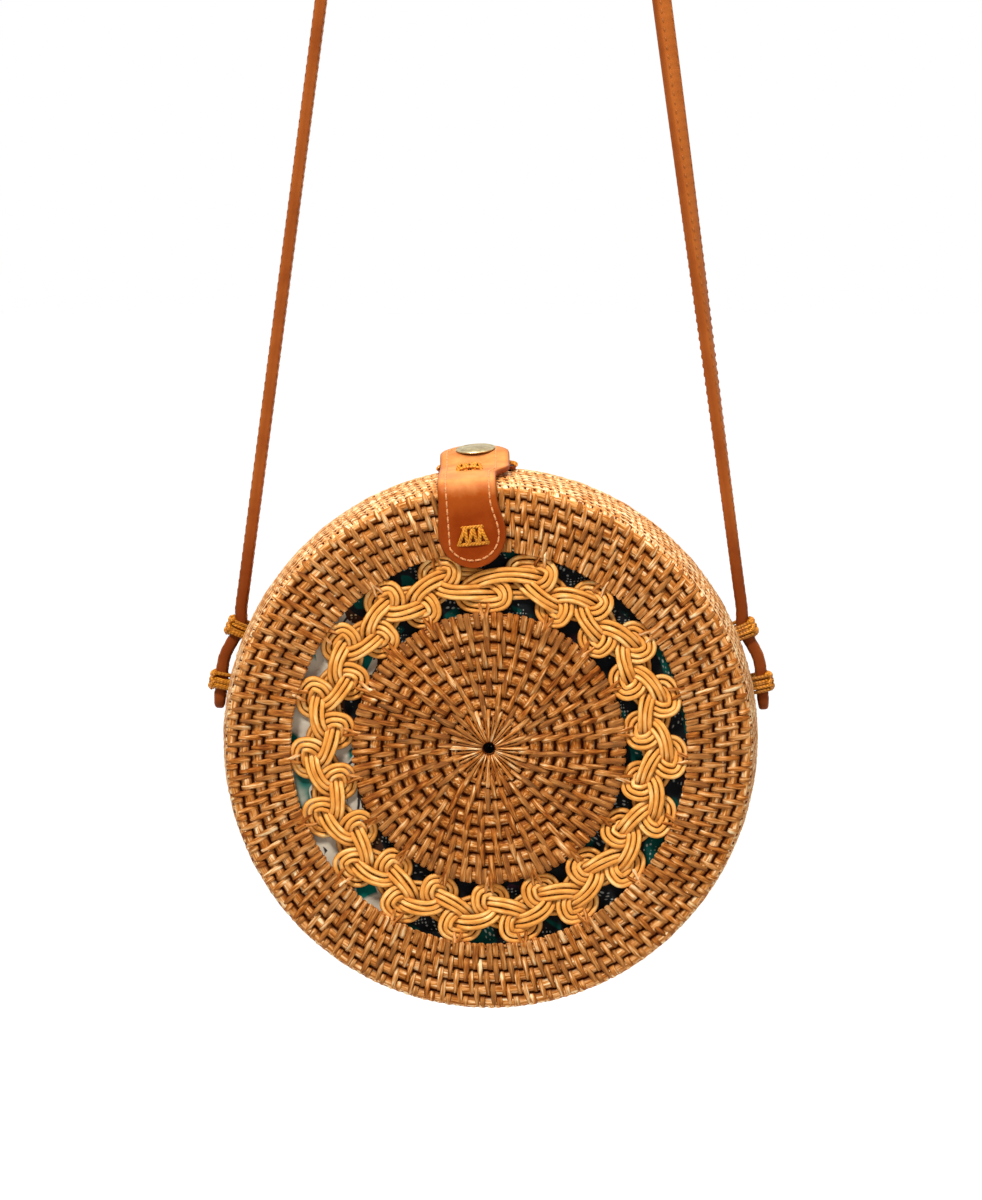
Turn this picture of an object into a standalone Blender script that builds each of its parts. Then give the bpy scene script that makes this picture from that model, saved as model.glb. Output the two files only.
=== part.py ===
"""Braided crossbody bag: two coiled half shells, a braided ring in the front face,
a leather snap tab and a long leather strap.

Metres, +Z up. The front face looks along -Y and +X is on its right. The origin is the
underside of the strap at its highest point, where the bag hangs. The shells, the braid
and the tab are drawn in the bag's own frame: its origin is the centre of the seam
between the two halves, and the bag's round axis runs along Y.
"""

import math

import bmesh
import bpy
from mathutils import Matrix, Vector

# Clearance between pieces that touch, and how far a cutter overruns
GAP = 0.0003
OVERRUN = 0.002

# Half shells: two shallow drums of coiled cane with a bulging wall
BAG_RADIUS = 0.100
WALL_BULGE = 0.0025
CORNER_RADIUS = 0.0035
HALF_DEPTH = 0.0375
WALL = 0.0042
LINING = 0.0008
LINING_SETBACK = 0.0010
SHELL_SEGMENTS = 40
CORNER_STEPS = 3
WALL_STEPS = 4
INNER_WALL_STEPS = 2

# Closed back: every second row of its coil is drawn, round a flat start
BACK_START_RADIUS = 0.0144
BACK_ROWS = 9
BACK_GROOVE = 0.0010

# Open front face: outer ring, braid and centre disc
RING_INNER_RADIUS = 0.0736
DISC_HOLE_RADIUS = 0.0020
COIL_PITCH = 0.0048
COIL_GROOVE = 0.0007

# Braid: two strands that loop round each other. Its width, the pitch of its loops and
# the stretch where its ends join follow the width of a strand, and three layers of
# strand fill the thickness of the wall.
STRAND_WIDTH = 0.0032
BRAID_WIDTH_SHARE = 7.35
LOOP_PITCH_SHARE = 6.5
JOIN_STRETCH_SHARE = 4.0
BRAID_LAYERS = 3
BRAID_START_DEG = 17.35
STRAND_STEPS = 14

# Leather snap tab, seen from the front it hangs left of the middle
TAB_TURN_DEG = -4.2
TAB_THICKNESS = 0.0022
TAB_FACE_LENGTH = 0.0265
TAB_LOBE_WIDTH = 0.0248
TAB_WAIST_WIDTH = 0.0212
TAB_FLAP_WIDTH = 0.0274
TAB_FLEX_SETBACK = 0.0082
TAB_FLAP_REACH = 0.0155
TAB_EDGE = 0.0005
FLAP_TILT_DEG = 8.0

# Snap fastener
SNAP_SETBACK = 0.0060
SNAP_SIDE = 0.0020
CAP_RADIUS = 0.0073
CAP_THICKNESS = 0.0010
CAP_POST_RADIUS = 0.0015
SOCKET_RADIUS = 0.0040
SOCKET_HEIGHT = 0.0016
SOCKET_RECESS_RADIUS = 0.0026
SOCKET_RECESS_DEPTH = 0.0012
STUD_RADIUS = 0.0020
STUD_HEIGHT = 0.0011
STUD_POST_RADIUS = 0.0012
SNAP_SEGMENTS = 20

# Leather patch on the back half that carries the stud
PATCH_LENGTH = 0.0290
PATCH_DEPTH = 0.0115
PATCH_THICKNESS = 0.0011
PATCH_SETBACK = 0.0012
PATCH_KNOT_INSET = 0.0022

# Waxed thread lashings
THREAD_THICKNESS = 0.0012
TAB_LASHING_LOWER = (0.0112, 0.0074)
TAB_LASHING_LOWER_DROP = 0.0145
TAB_LASHING_UPPER = (0.0092, 0.0032)
TAB_LASHING_UPPER_SETBACK = 0.0125
PATCH_KNOT_SIZE = (0.0046, 0.0052)
STRAP_LASHING_HEIGHT = 0.0062

# Hinge loops at the foot of the seam
HINGE_LOOP_SIDE = 0.0290
HINGE_LOOP_WIDTH = 0.0030
HINGE_LOOP_THICKNESS = 0.0016
HINGE_LOOP_REACH = 0.0060

# Strap
STRAP_WIDTH = 0.0075
STRAP_THICKNESS = 0.0045
STRAP_EDGE = 0.0009
STRAP_DROP = 0.560
STRAP_PEG_RADIUS = 0.018
STRAP_TWIST_DEG = 52.0
STRAP_RUN_STEPS = 12
STRAP_ARC_STEPS = 12
STRAP_END_STEPS = 4
UPPER_LASHING_HEIGHT = 0.0395
LOWER_LASHING_HEIGHT = 0.0195
STRAP_TIP_HEIGHT = 0.0085
STRAP_STAND_OFF = 0.0004
STRAP_BULGE = 0.0020

# Sizes and places that follow from the others
RIM_RADIUS = BAG_RADIUS - WALL_BULGE
CORNER_FLAT_RADIUS = RIM_RADIUS - CORNER_RADIUS
DISC_RADIUS = RING_INNER_RADIUS - BRAID_WIDTH_SHARE * STRAND_WIDTH
BRAID_RADIUS = (RING_INNER_RADIUS + DISC_RADIUS) / 2
STRAND_THICKNESS = (WALL - 2 * GAP) / BRAID_LAYERS
JOIN_STRETCH = JOIN_STRETCH_SHARE * STRAND_WIDTH / BRAID_RADIUS
BRAID_LOOPS = int((math.tau - JOIN_STRETCH) * BRAID_RADIUS / (LOOP_PITCH_SHARE * STRAND_WIDTH))
BRAID_PITCH = (math.tau - JOIN_STRETCH) / BRAID_LOOPS
HINGE_RADIUS = BAG_RADIUS + GAP
STRAP_SETBACK = STRAP_WIDTH / 2 + THREAD_THICKNESS + 2 * GAP
SWING_HEIGHT = UPPER_LASHING_HEIGHT + STRAP_LASHING_HEIGHT / 2 + 2 * GAP + STRAP_WIDTH / 2
BAG_CENTRE = Vector((0, -STRAP_SETBACK, -STRAP_DROP - SWING_HEIGHT))
TAB_TURN = math.radians(TAB_TURN_DEG)
FLAP_TILT = math.radians(FLAP_TILT_DEG)


# Scene and materials

def clear_scene():
    for old in list(bpy.data.objects):
        bpy.data.objects.remove(old)


def make_material(name, colour, roughness, metallic=0.0):
    material = bpy.data.materials.new(name)
    material.use_nodes = True
    shader = material.node_tree.nodes["Principled BSDF"]
    shader.inputs["Base Color"].default_value = (*colour, 1)
    shader.inputs["Roughness"].default_value = roughness
    shader.inputs["Metallic"].default_value = metallic
    return material


def make_materials():
    return {
        "coiled_cane": make_material("coiled_cane", (0.42, 0.22, 0.08), 0.55),
        "braid_cane": make_material("braid_cane", (0.68, 0.36, 0.10), 0.45),
        "lining": make_material("lining", (0.10, 0.20, 0.17), 0.9),
        "leather": make_material("leather", (0.45, 0.14, 0.035), 0.5),
        "waxed_thread": make_material("waxed_thread", (0.80, 0.36, 0.03), 0.6),
        "antique_brass": make_material("antique_brass", (0.42, 0.34, 0.18), 0.35, 1.0),
    }


# Frames that the pieces hang from

def add_empty(name, matrix, parent=None):
    empty = bpy.data.objects.new(name, None)
    empty.empty_display_size = CORNER_RADIUS
    bpy.context.collection.objects.link(empty)
    empty.parent = parent
    empty.matrix_local = matrix
    return empty


def make_frames():
    """Empties on the joint axes. Each one also keeps its place in the bag's frame."""
    places = {
        "bag": Matrix.Identity(4),
        "swing": Matrix.Translation((0, STRAP_SETBACK, SWING_HEIGHT)),
        "hinge": Matrix.Translation((0, 0, -HINGE_RADIUS)),
    }
    tab = Matrix.Rotation(TAB_TURN, 4, "Y")
    places["tab"] = tab
    places["flex"] = tab @ Matrix.Translation(flex_point())
    bag = Matrix.Translation(BAG_CENTRE)
    frames = {}
    for name, place in places.items():
        frames[name] = (add_empty(name + "_axis", bag @ place), place)
    return frames


# Mesh tools

def finish_mesh(name, mesh, material, frame, smooth_deg=40):
    """Turn a bmesh drawn in the bag's frame into an object that hangs from a frame."""
    empty, place = frame
    bmesh.ops.recalc_face_normals(mesh, faces=mesh.faces)
    data = bpy.data.meshes.new(name)
    mesh.to_mesh(data)
    mesh.free()
    data.transform(place.inverted())
    data.materials.append(material)
    data.shade_smooth()
    data.set_sharp_from_angle(angle=math.radians(smooth_deg))
    piece = bpy.data.objects.new(name, data)
    bpy.context.collection.objects.link(piece)
    piece.parent = empty
    return piece


def revolve(profile, segments, matrix=None):
    """Spin a closed outline of (radius, along) points round the Y axis.

    Points with radius zero lie on the axis, and the outline is open there.
    """
    mesh = bmesh.new()
    on_axis = profile[0][0] == 0 and profile[-1][0] == 0
    rings = []
    for radius, along in profile:
        if radius == 0:
            rings.append([mesh.verts.new((0, along, 0))])
            continue
        ring = []
        for step in range(segments):
            turn = math.tau * step / segments
            ring.append(mesh.verts.new((radius * math.cos(turn), along, radius * math.sin(turn))))
        rings.append(ring)
    pairs = list(zip(rings, rings[1:]))
    if not on_axis:
        pairs.append((rings[-1], rings[0]))
    for first, second in pairs:
        bridge_rings(mesh, first, second)
    if matrix is not None:
        mesh.transform(matrix)
    return mesh


def bridge_rings(mesh, first, second):
    count = max(len(first), len(second))
    for step in range(count):
        after = (step + 1) % count
        corners = []
        for corner in (first[step % len(first)], first[after % len(first)],
                       second[after % len(second)], second[step % len(second)]):
            if corner not in corners:
                corners.append(corner)
        mesh.faces.new(corners)


def sweep(stations, closed=False):
    """Skin a row of stations. A station is (centre, across, outward, section points)."""
    mesh = bmesh.new()
    rings = []
    for centre, across, outward, section in stations:
        ring = []
        for side, lift in section:
            ring.append(mesh.verts.new(centre + across * side + outward * lift))
        rings.append(ring)
    pairs = list(zip(rings, rings[1:]))
    if closed:
        pairs.append((rings[-1], rings[0]))
    for first, second in pairs:
        bridge_rings(mesh, first, second)
    if not closed:
        mesh.faces.new(rings[0])
        mesh.faces.new(rings[-1])
    return mesh


def chamfered(width, height, edge):
    """Points of a rectangle with cut corners, centred on its middle."""
    side = width / 2
    lift = height / 2
    return [(side, lift - edge), (side - edge, lift), (edge - side, lift), (-side, lift - edge),
            (-side, edge - lift), (edge - side, -lift), (side - edge, -lift), (side, edge - lift)]


def smooth_row(points, steps):
    """Points of a smooth curve through a row of points, with the ends kept."""
    row = [2 * points[0] - points[1], *points, 2 * points[-1] - points[-2]]
    curve = []
    for first, start, end, last in zip(row, row[1:], row[2:], row[3:]):
        for step in range(steps):
            share = step / steps
            curve.append(catmull_rom(first, start, end, last, share))
    curve.append(points[-1])
    return curve


def catmull_rom(first, start, end, last, share):
    linear = end - first
    square = 2 * first - 5 * start + 4 * end - last
    cube = 3 * start - first - 3 * end + last
    return start + (linear * share + square * share ** 2 + cube * share ** 3) / 2


def directions(points, closed=False):
    """Unit tangents along a row of points."""
    count = len(points)
    tangents = []
    for index in range(count):
        if closed:
            before = points[index - 1]
            after = points[(index + 1) % count]
        else:
            before = points[max(index - 1, 0)]
            after = points[min(index + 1, count - 1)]
        tangents.append((after - before).normalized())
    return tangents


def cut(piece, cutter):
    """Cut a piece with a hidden cutter that hangs from the same frame."""
    cutter.hide_render = True
    cutter.display_type = "WIRE"
    boolean = piece.modifiers.new("cut_" + cutter.name, "BOOLEAN")
    boolean.operation = "DIFFERENCE"
    boolean.solver = "EXACT"
    boolean.object = cutter


# Outlines of the half shells, as (radius, distance in from the face)

def wall_radius(setback):
    """Outer radius of the bulging wall at a distance from the seam, on either side."""
    share = min(abs(setback) / (HALF_DEPTH - CORNER_RADIUS), 1)
    return BAG_RADIUS - (BAG_RADIUS - RIM_RADIUS) * share ** 2


def outer_line(inset):
    """Outer skin from the flat face to the seam, moved in by an inset."""
    line = [(CORNER_FLAT_RADIUS, inset)]
    reach = CORNER_RADIUS - inset
    if reach > 0:
        for step in range(1, CORNER_STEPS):
            turn = math.pi / 2 * step / CORNER_STEPS
            line.append((CORNER_FLAT_RADIUS + reach * math.sin(turn),
                         CORNER_RADIUS - reach * math.cos(turn)))
    start = max(CORNER_RADIUS, inset)
    for step in range(WALL_STEPS + 1):
        depth = start + (HALF_DEPTH - start) * step / WALL_STEPS
        line.append((wall_radius(HALF_DEPTH - depth) - inset, depth))
    return line


def inner_line(inset, steps):
    """Inner skin from the seam back to the flat face, without the corner's outer round."""
    line = []
    for step in range(steps, 0, -1):
        depth = inset + (HALF_DEPTH - inset) * step / steps
        line.append((wall_radius(HALF_DEPTH - depth) - inset, depth))
    line.append((wall_radius(HALF_DEPTH - inset) - inset, inset + CORNER_RADIUS / 2))
    line.append((wall_radius(HALF_DEPTH - inset) - inset - CORNER_RADIUS / 2, inset))
    return line


def trim_at_seam(line, setback):
    """Stop a line a little short of the seam."""
    trimmed = []
    for radius, depth in line:
        trimmed.append((radius, min(depth, HALF_DEPTH - setback)))
    return trimmed


def placed(line, side):
    """Outline points along Y: side is -1 for the front half and +1 for the back half."""
    return [(radius, side * (HALF_DEPTH - depth)) for radius, depth in line]


def coil_line(start, end, rows, groove):
    """Rows of the coil on a flat face: a groove and a crown for each, and a last groove."""
    pitch = (end - start) / rows
    line = []
    for row in range(rows):
        line.append((start + row * pitch, groove))
        line.append((start + (row + 0.5) * pitch, 0))
    line.append((end, groove))
    return line


def front_coil_line(start, end):
    return coil_line(start, end, round((end - start) / COIL_PITCH), COIL_GROOVE)


def wall_outlines():
    seam = GAP / 2
    return (trim_at_seam(outer_line(0), seam),
            trim_at_seam(inner_line(WALL, INNER_WALL_STEPS), seam))


def lining_outline(side):
    """A thin skin inside a half. Its wall is straight, so it stays clear of the bulge."""
    outer = inner_line(WALL + GAP, 1)
    inner = inner_line(WALL + GAP + LINING, 1)
    line = [(0, WALL + GAP), *reversed(outer), *inner, (0, WALL + GAP + LINING)]
    return placed(trim_at_seam(line, LINING_SETBACK), side)


# Front half

def make_front_ring_shell(materials, frames):
    outer, inner = wall_outlines()
    face = front_coil_line(RING_INNER_RADIUS, CORNER_FLAT_RADIUS)
    line = [*face, *outer[1:], *inner, (RING_INNER_RADIUS, WALL)]
    mesh = revolve(placed(line, -1), SHELL_SEGMENTS)
    finish_mesh("front_ring_shell", mesh, materials["coiled_cane"], frames["hinge"])


def make_centre_disc(materials, frames):
    """Coiled disc: one rounded row of the coil after another, from the hole outwards."""
    line = front_coil_line(DISC_HOLE_RADIUS, DISC_RADIUS)
    line.append((DISC_RADIUS, WALL - COIL_GROOVE))
    line.append((DISC_RADIUS - COIL_PITCH / 2, WALL))
    line.append((DISC_HOLE_RADIUS, WALL))
    mesh = revolve(placed(line, -1), SHELL_SEGMENTS)
    finish_mesh("centre_disc", mesh, materials["coiled_cane"], frames["hinge"])


# One loop of a strand, as shares of the pitch, of the reach and of the lift. The strand
# comes in under its neighbour's loop, climbs over its neighbour, turns at the edge,
# goes back underneath and crosses over itself on its way to the next loop.
LOOP_SHARES = [
    (-0.55, 0.43, -0.45), (-0.40, 0.41, -1.00), (-0.25, 0.34, -1.00), (-0.10, 0.17, -0.75),
    (0.03, -0.10, 0.15), (0.10, -0.34, 0.80), (0.12, -0.62, 0.90), (0.09, -0.86, 0.70),
    (-0.02, -1.00, 0.25), (-0.17, -1.00, -0.25), (-0.29, -0.86, -0.70), (-0.34, -0.62, -1.00),
    (-0.31, -0.38, -1.00), (-0.23, -0.14, -0.45), (-0.13, 0.08, 0.70), (0.00, 0.24, 1.00),
    (0.15, 0.35, 1.00), (0.30, 0.41, 0.65),
]


def braid_angle(turns):
    """Angle clockwise from the top after a number of pitches. The last one is stretched."""
    whole, rest = divmod(turns, BRAID_LOOPS)
    share = max(rest - (BRAID_LOOPS - 1), 0)
    eased = share * share * (3 - 2 * share)
    turned = whole * math.tau + rest * BRAID_PITCH + JOIN_STRETCH * eased
    return math.radians(BRAID_START_DEG) + turned


def strand_shares():
    """The loop's shares at equal steps along one loop."""
    count = len(LOOP_SHARES)
    points = [Vector(share) for share in LOOP_SHARES]
    pitch_step = Vector((1, 0, 0))
    row = [points[-1] - pitch_step, *points, points[0] + pitch_step, points[1] + pitch_step]
    shares = []
    for step in range(STRAND_STEPS):
        place = step * count / STRAND_STEPS
        index = int(place)
        shares.append(catmull_rom(*row[index:index + 4], place - index))
    return shares


def make_braid_strand(name, first_loop, side, materials, frames):
    """One endless strand: side +1 loops at the inner edge, -1 at the outer edge."""
    reach = (RING_INNER_RADIUS - DISC_RADIUS) / 2 - GAP - STRAND_WIDTH / 2
    lift = WALL / 2 - GAP - STRAND_THICKNESS / 2
    centre_plane = WALL / 2 - HALF_DEPTH
    points = []
    for loop in range(BRAID_LOOPS):
        for along, across, level in strand_shares():
            turn = braid_angle(first_loop + loop + along)
            radius = BRAID_RADIUS + side * across * reach
            points.append(Vector((radius * math.sin(turn), centre_plane - level * lift,
                                  radius * math.cos(turn))))
    outward = Vector((0, -1, 0))
    width = STRAND_WIDTH / 2
    rise = STRAND_THICKNESS / 2
    section = [(width, 0), (width / 2, rise), (-width / 2, rise), (-width, 0), (0, -rise)]
    stations = []
    for point, tangent in zip(points, directions(points, closed=True)):
        across = tangent.cross(outward).normalized()
        stations.append((point, across, across.cross(tangent), section))
    mesh = sweep(stations, closed=True)
    finish_mesh(name, mesh, materials["braid_cane"], frames["hinge"])


def make_front_lining(materials, frames):
    mesh = revolve(lining_outline(-1), SHELL_SEGMENTS)
    finish_mesh("front_lining", mesh, materials["lining"], frames["hinge"])


# Back half

def make_back_shell(materials, frames):
    outer, inner = wall_outlines()
    start = [(0, 0), (BACK_START_RADIUS - BACK_GROOVE, 0)]
    face = coil_line(BACK_START_RADIUS, CORNER_FLAT_RADIUS, BACK_ROWS, BACK_GROOVE)
    line = [*start, *face, *outer[1:], *inner, (0, WALL)]
    mesh = revolve(placed(line, 1), SHELL_SEGMENTS)
    finish_mesh("back_shell", mesh, materials["coiled_cane"], frames["swing"])


def make_back_lining(materials, frames):
    mesh = revolve(lining_outline(1), SHELL_SEGMENTS)
    finish_mesh("back_lining", mesh, materials["lining"], frames["swing"])


def make_hinge_loops(materials, frames):
    """Each loop crosses the seam's foot and is drawn as its two halves."""
    section = chamfered(HINGE_LOOP_WIDTH, HINGE_LOOP_THICKNESS, HINGE_LOOP_THICKNESS / 4)
    crown = 0.4 * HINGE_LOOP_THICKNESS
    for side_name, side in (("left", -1), ("right", 1)):
        turn = math.pi - side * math.asin(HINGE_LOOP_SIDE / BAG_RADIUS)
        placing = Matrix.Rotation(turn, 4, "Y")
        for half_name, half, frame in (("front", -1, "hinge"), ("back", 1, "swing")):
            stations = []
            for share in (0, 0.5, 1):
                along = GAP / 2 + (HINGE_LOOP_REACH - GAP / 2) * share
                radius = BAG_RADIUS + GAP + HINGE_LOOP_THICKNESS / 2 + crown * (1 - share ** 2)
                centre = Vector((0, half * along, radius))
                stations.append((centre, Vector((1, 0, 0)), Vector((0, 0, 1)), section))
            mesh = sweep(stations)
            mesh.transform(placing)
            name = "hinge_loop_" + side_name + "_" + half_name
            finish_mesh(name, mesh, materials["coiled_cane"], frames[frame])


# Leather tab, drawn with X across it, Y to the back and Z away from the bag's axis

def flex_point():
    """Where the tab bends: on its upper face, just ahead of the seam."""
    radius = wall_radius(TAB_FLEX_SETBACK) + GAP + TAB_THICKNESS
    return Vector((0, -TAB_FLEX_SETBACK, radius))


def snap_seat():
    """Radius of the flap's underside over the middle of the snap."""
    patch_top = BAG_RADIUS + GAP + PATCH_THICKNESS
    return patch_top + STUD_HEIGHT + GAP + SOCKET_HEIGHT + GAP


def tab_base_line():
    """Underside of the fixed part: up the face, round the corner and along the wall."""
    face = -HALF_DEPTH - GAP
    line = [Vector((0, face, CORNER_FLAT_RADIUS - TAB_FACE_LENGTH)),
            Vector((0, face, CORNER_FLAT_RADIUS))]
    reach = CORNER_RADIUS + GAP
    for step in range(1, CORNER_STEPS + 1):
        turn = math.pi / 2 * step / CORNER_STEPS
        line.append(Vector((0, CORNER_RADIUS - HALF_DEPTH - reach * math.cos(turn),
                            CORNER_FLAT_RADIUS + reach * math.sin(turn))))
    start = HALF_DEPTH - CORNER_RADIUS
    for step in range(1, WALL_STEPS + 1):
        setback = start + (TAB_FLEX_SETBACK + GAP / 2 - start) * step / WALL_STEPS
        line.append(Vector((0, -setback, wall_radius(setback) + GAP)))
    return line


def flap_line():
    """Underside of the flap: an easy curve up from the bend, then straight past the snap."""
    start = Vector((0, GAP / 2 - TAB_FLEX_SETBACK, flex_point().z - TAB_THICKNESS))
    slope = math.tan(FLAP_TILT)
    landing = SNAP_SETBACK - SOCKET_RADIUS - GAP
    landing_height = snap_seat() - slope * (SOCKET_RADIUS + GAP)
    line = []
    for step in range(6):
        share = step / 6
        span = landing - start.y
        ease = share * share * (3 - 2 * share)
        lead = share * share * (share - 1) * slope * span
        line.append(Vector((0, start.y + span * share,
                            start.z + (landing_height - start.z) * ease + lead)))
    for setback in (landing, TAB_FLAP_REACH):
        line.append(Vector((0, setback, snap_seat() + slope * (setback - SNAP_SETBACK))))
    return line


def strip_stations(line, width_at, marks):
    """Stations of a leather strip at given distances along its underside."""
    lengths = [0]
    for start, end in zip(line, line[1:]):
        lengths.append(lengths[-1] + (end - start).length)
    tangents = directions(line)
    across = Vector((1, 0, 0))
    stations = []
    for mark in sorted({*marks, *lengths}):
        if mark < marks[0] or mark > marks[-1]:
            continue
        index = max(i for i, length in enumerate(lengths[:-1]) if length <= mark)
        share = (mark - lengths[index]) / (lengths[index + 1] - lengths[index])
        foot = line[index].lerp(line[index + 1], share)
        tangent = tangents[index].lerp(tangents[index + 1], share).normalized()
        outward = across.cross(tangent).normalized()
        section = chamfered(width_at(mark), TAB_THICKNESS, TAB_EDGE)
        stations.append((foot + outward * TAB_THICKNESS / 2, across, outward, section))
    return stations


def line_length(line):
    return sum((end - start).length for start, end in zip(line, line[1:]))


def round_end_width(distance, width):
    """Width of a strip with a round end, at a distance from the tip."""
    radius = width / 2
    short = min(max(radius - distance, 0), radius)
    return 2 * math.sqrt(radius * radius - short * short)


ROUND_END_SHARES = (0.02, 0.08, 0.2, 0.4, 0.7, 1.0)


def make_tab_base(materials, frames):
    line = tab_base_line()
    length = line_length(line)

    def width_at(mark):
        lobe = TAB_LOBE_WIDTH / 2
        share = min(max((mark - lobe) / lobe, 0), 1)
        ease = share * share * (3 - 2 * share)
        full = TAB_LOBE_WIDTH + (TAB_WAIST_WIDTH - TAB_LOBE_WIDTH) * ease
        return min(full, round_end_width(mark, TAB_LOBE_WIDTH))

    lobe = TAB_LOBE_WIDTH / 2
    marks = [lobe * share for share in ROUND_END_SHARES] + [1.5 * lobe, length]
    mesh = sweep(strip_stations(line, width_at, marks))
    mesh.transform(frames["tab"][1])
    finish_mesh("tab_base", mesh, materials["leather"], frames["hinge"])


def make_tab_flap(materials, frames):
    line = flap_line()
    length = line_length(line)
    lobe = TAB_FLAP_WIDTH / 2

    def width_at(mark):
        share = min(mark / (length - lobe), 1)
        ease = share * share * (3 - 2 * share)
        full = TAB_WAIST_WIDTH + (TAB_FLAP_WIDTH - TAB_WAIST_WIDTH) * ease
        return min(full, round_end_width(length - mark, TAB_FLAP_WIDTH))

    marks = [0] + [length - lobe * share for share in reversed(ROUND_END_SHARES)]
    mesh = sweep(strip_stations(line, width_at, marks))
    mesh.transform(frames["tab"][1])
    flap = finish_mesh("tab_flap", mesh, materials["leather"], frames["flex"])
    hole = revolve(disc_outline(CAP_POST_RADIUS + GAP, -OVERRUN, TAB_THICKNESS + OVERRUN),
                   SNAP_SEGMENTS, snap_matrix(frames))
    cut(flap, finish_mesh("cap_post_hole", hole, materials["leather"], frames["flex"]))


# Snap fastener, drawn with its axis along Y and then turned to stand up

def disc_outline(radius, low, high):
    return [(0, low), (radius, low), (radius, high), (0, high)]


def snap_matrix(frames):
    """Stands a Y-axis turning on the flap's underside over the snap, tilted with it."""
    seat = Vector((SNAP_SIDE, SNAP_SETBACK, snap_seat()))
    tilt = Matrix.Rotation(FLAP_TILT, 4, "X") @ Matrix.Rotation(math.pi / 2, 4, "X")
    return frames["tab"][1] @ Matrix.Translation(seat) @ tilt


def stud_matrix(frames):
    """Stands a Y-axis turning on the wall under the patch, square to it."""
    turn = Matrix.Rotation(math.asin(SNAP_SIDE / BAG_RADIUS), 4, "Y")
    seat = Matrix.Translation((0, SNAP_SETBACK, BAG_RADIUS + GAP))
    upright = Matrix.Rotation(math.pi / 2, 4, "X")
    return frames["tab"][1] @ turn @ seat @ upright


def make_snap_cap(materials, frames):
    """Domed cap above the leather, with the post that goes down through it."""
    seat = TAB_THICKNESS + GAP
    rim = CAP_THICKNESS / 3
    outline = [(0, 0), (CAP_POST_RADIUS, 0), (CAP_POST_RADIUS, seat), (CAP_RADIUS, seat),
               (CAP_RADIUS, seat + rim), (0.8 * CAP_RADIUS, seat + 0.75 * CAP_THICKNESS),
               (0.45 * CAP_RADIUS, seat + 0.95 * CAP_THICKNESS), (0, seat + CAP_THICKNESS)]
    mesh = revolve(outline, SNAP_SEGMENTS, snap_matrix(frames))
    finish_mesh("snap_cap", mesh, materials["antique_brass"], frames["flex"])


def make_snap_socket(materials, frames):
    """Ring under the leather whose recess takes the stud."""
    top = -GAP
    low = top - SOCKET_HEIGHT
    roof = low + SOCKET_RECESS_DEPTH
    outline = [(0, roof), (SOCKET_RECESS_RADIUS, roof), (SOCKET_RECESS_RADIUS, low),
               (SOCKET_RADIUS, low), (SOCKET_RADIUS, top), (0, top)]
    mesh = revolve(outline, SNAP_SEGMENTS, snap_matrix(frames))
    finish_mesh("snap_socket", mesh, materials["antique_brass"], frames["flex"])


def make_snap_stud(materials, frames):
    """Rivet whose knob stands on the patch and whose post goes through it."""
    seat = PATCH_THICKNESS + GAP / 2
    top = PATCH_THICKNESS + STUD_HEIGHT
    neck = 0.75 * STUD_RADIUS
    outline = [(0, GAP), (STUD_POST_RADIUS, GAP), (STUD_POST_RADIUS, seat), (STUD_RADIUS, seat),
               (neck, (seat + top) / 2), (STUD_RADIUS, top - GAP), (neck, top), (0, top)]
    mesh = revolve(outline, SNAP_SEGMENTS, stud_matrix(frames))
    finish_mesh("snap_stud", mesh, materials["antique_brass"], frames["swing"])


def arc_stations(length, setback, radius, section, steps, centre_side=0):
    """Stations of a bar that follows the wall round the bag's axis, in the tab's frame."""
    stations = []
    for step in range(steps + 1):
        turn = (centre_side + length * (step / steps - 0.5)) / radius
        outward = Vector((math.sin(turn), 0, math.cos(turn)))
        centre = outward * radius + Vector((0, setback, 0))
        stations.append((centre, Vector((0, 1, 0)), outward, section))
    return stations


def make_closure_patch(materials, frames):
    section = chamfered(PATCH_DEPTH, PATCH_THICKNESS, PATCH_THICKNESS / 4)
    radius = BAG_RADIUS + GAP + PATCH_THICKNESS / 2
    setback = PATCH_SETBACK + PATCH_DEPTH / 2
    stations = arc_stations(PATCH_LENGTH, setback, radius, section, 6, SNAP_SIDE)
    mesh = sweep(stations)
    mesh.transform(frames["tab"][1])
    patch = finish_mesh("closure_patch", mesh, materials["leather"], frames["swing"])
    hole = revolve(disc_outline(STUD_POST_RADIUS + GAP, -OVERRUN, PATCH_THICKNESS + OVERRUN),
                   SNAP_SEGMENTS, stud_matrix(frames))
    cut(patch, finish_mesh("stud_post_hole", hole, materials["leather"], frames["swing"]))


def make_patch_lashings(materials, frames):
    length, width = PATCH_KNOT_SIZE
    section = chamfered(width, THREAD_THICKNESS, THREAD_THICKNESS / 3)
    radius = BAG_RADIUS + GAP + PATCH_THICKNESS + GAP + THREAD_THICKNESS / 2
    setback = PATCH_SETBACK + PATCH_DEPTH / 2
    offset = PATCH_LENGTH / 2 - PATCH_KNOT_INSET
    for name, side in (("patch_lashing_left", -1), ("patch_lashing_right", 1)):
        middle = SNAP_SIDE + side * offset
        mesh = sweep(arc_stations(length, setback, radius, section, 2, middle))
        mesh.transform(frames["tab"][1])
        finish_mesh(name, mesh, materials["waxed_thread"], frames["swing"])


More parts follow.
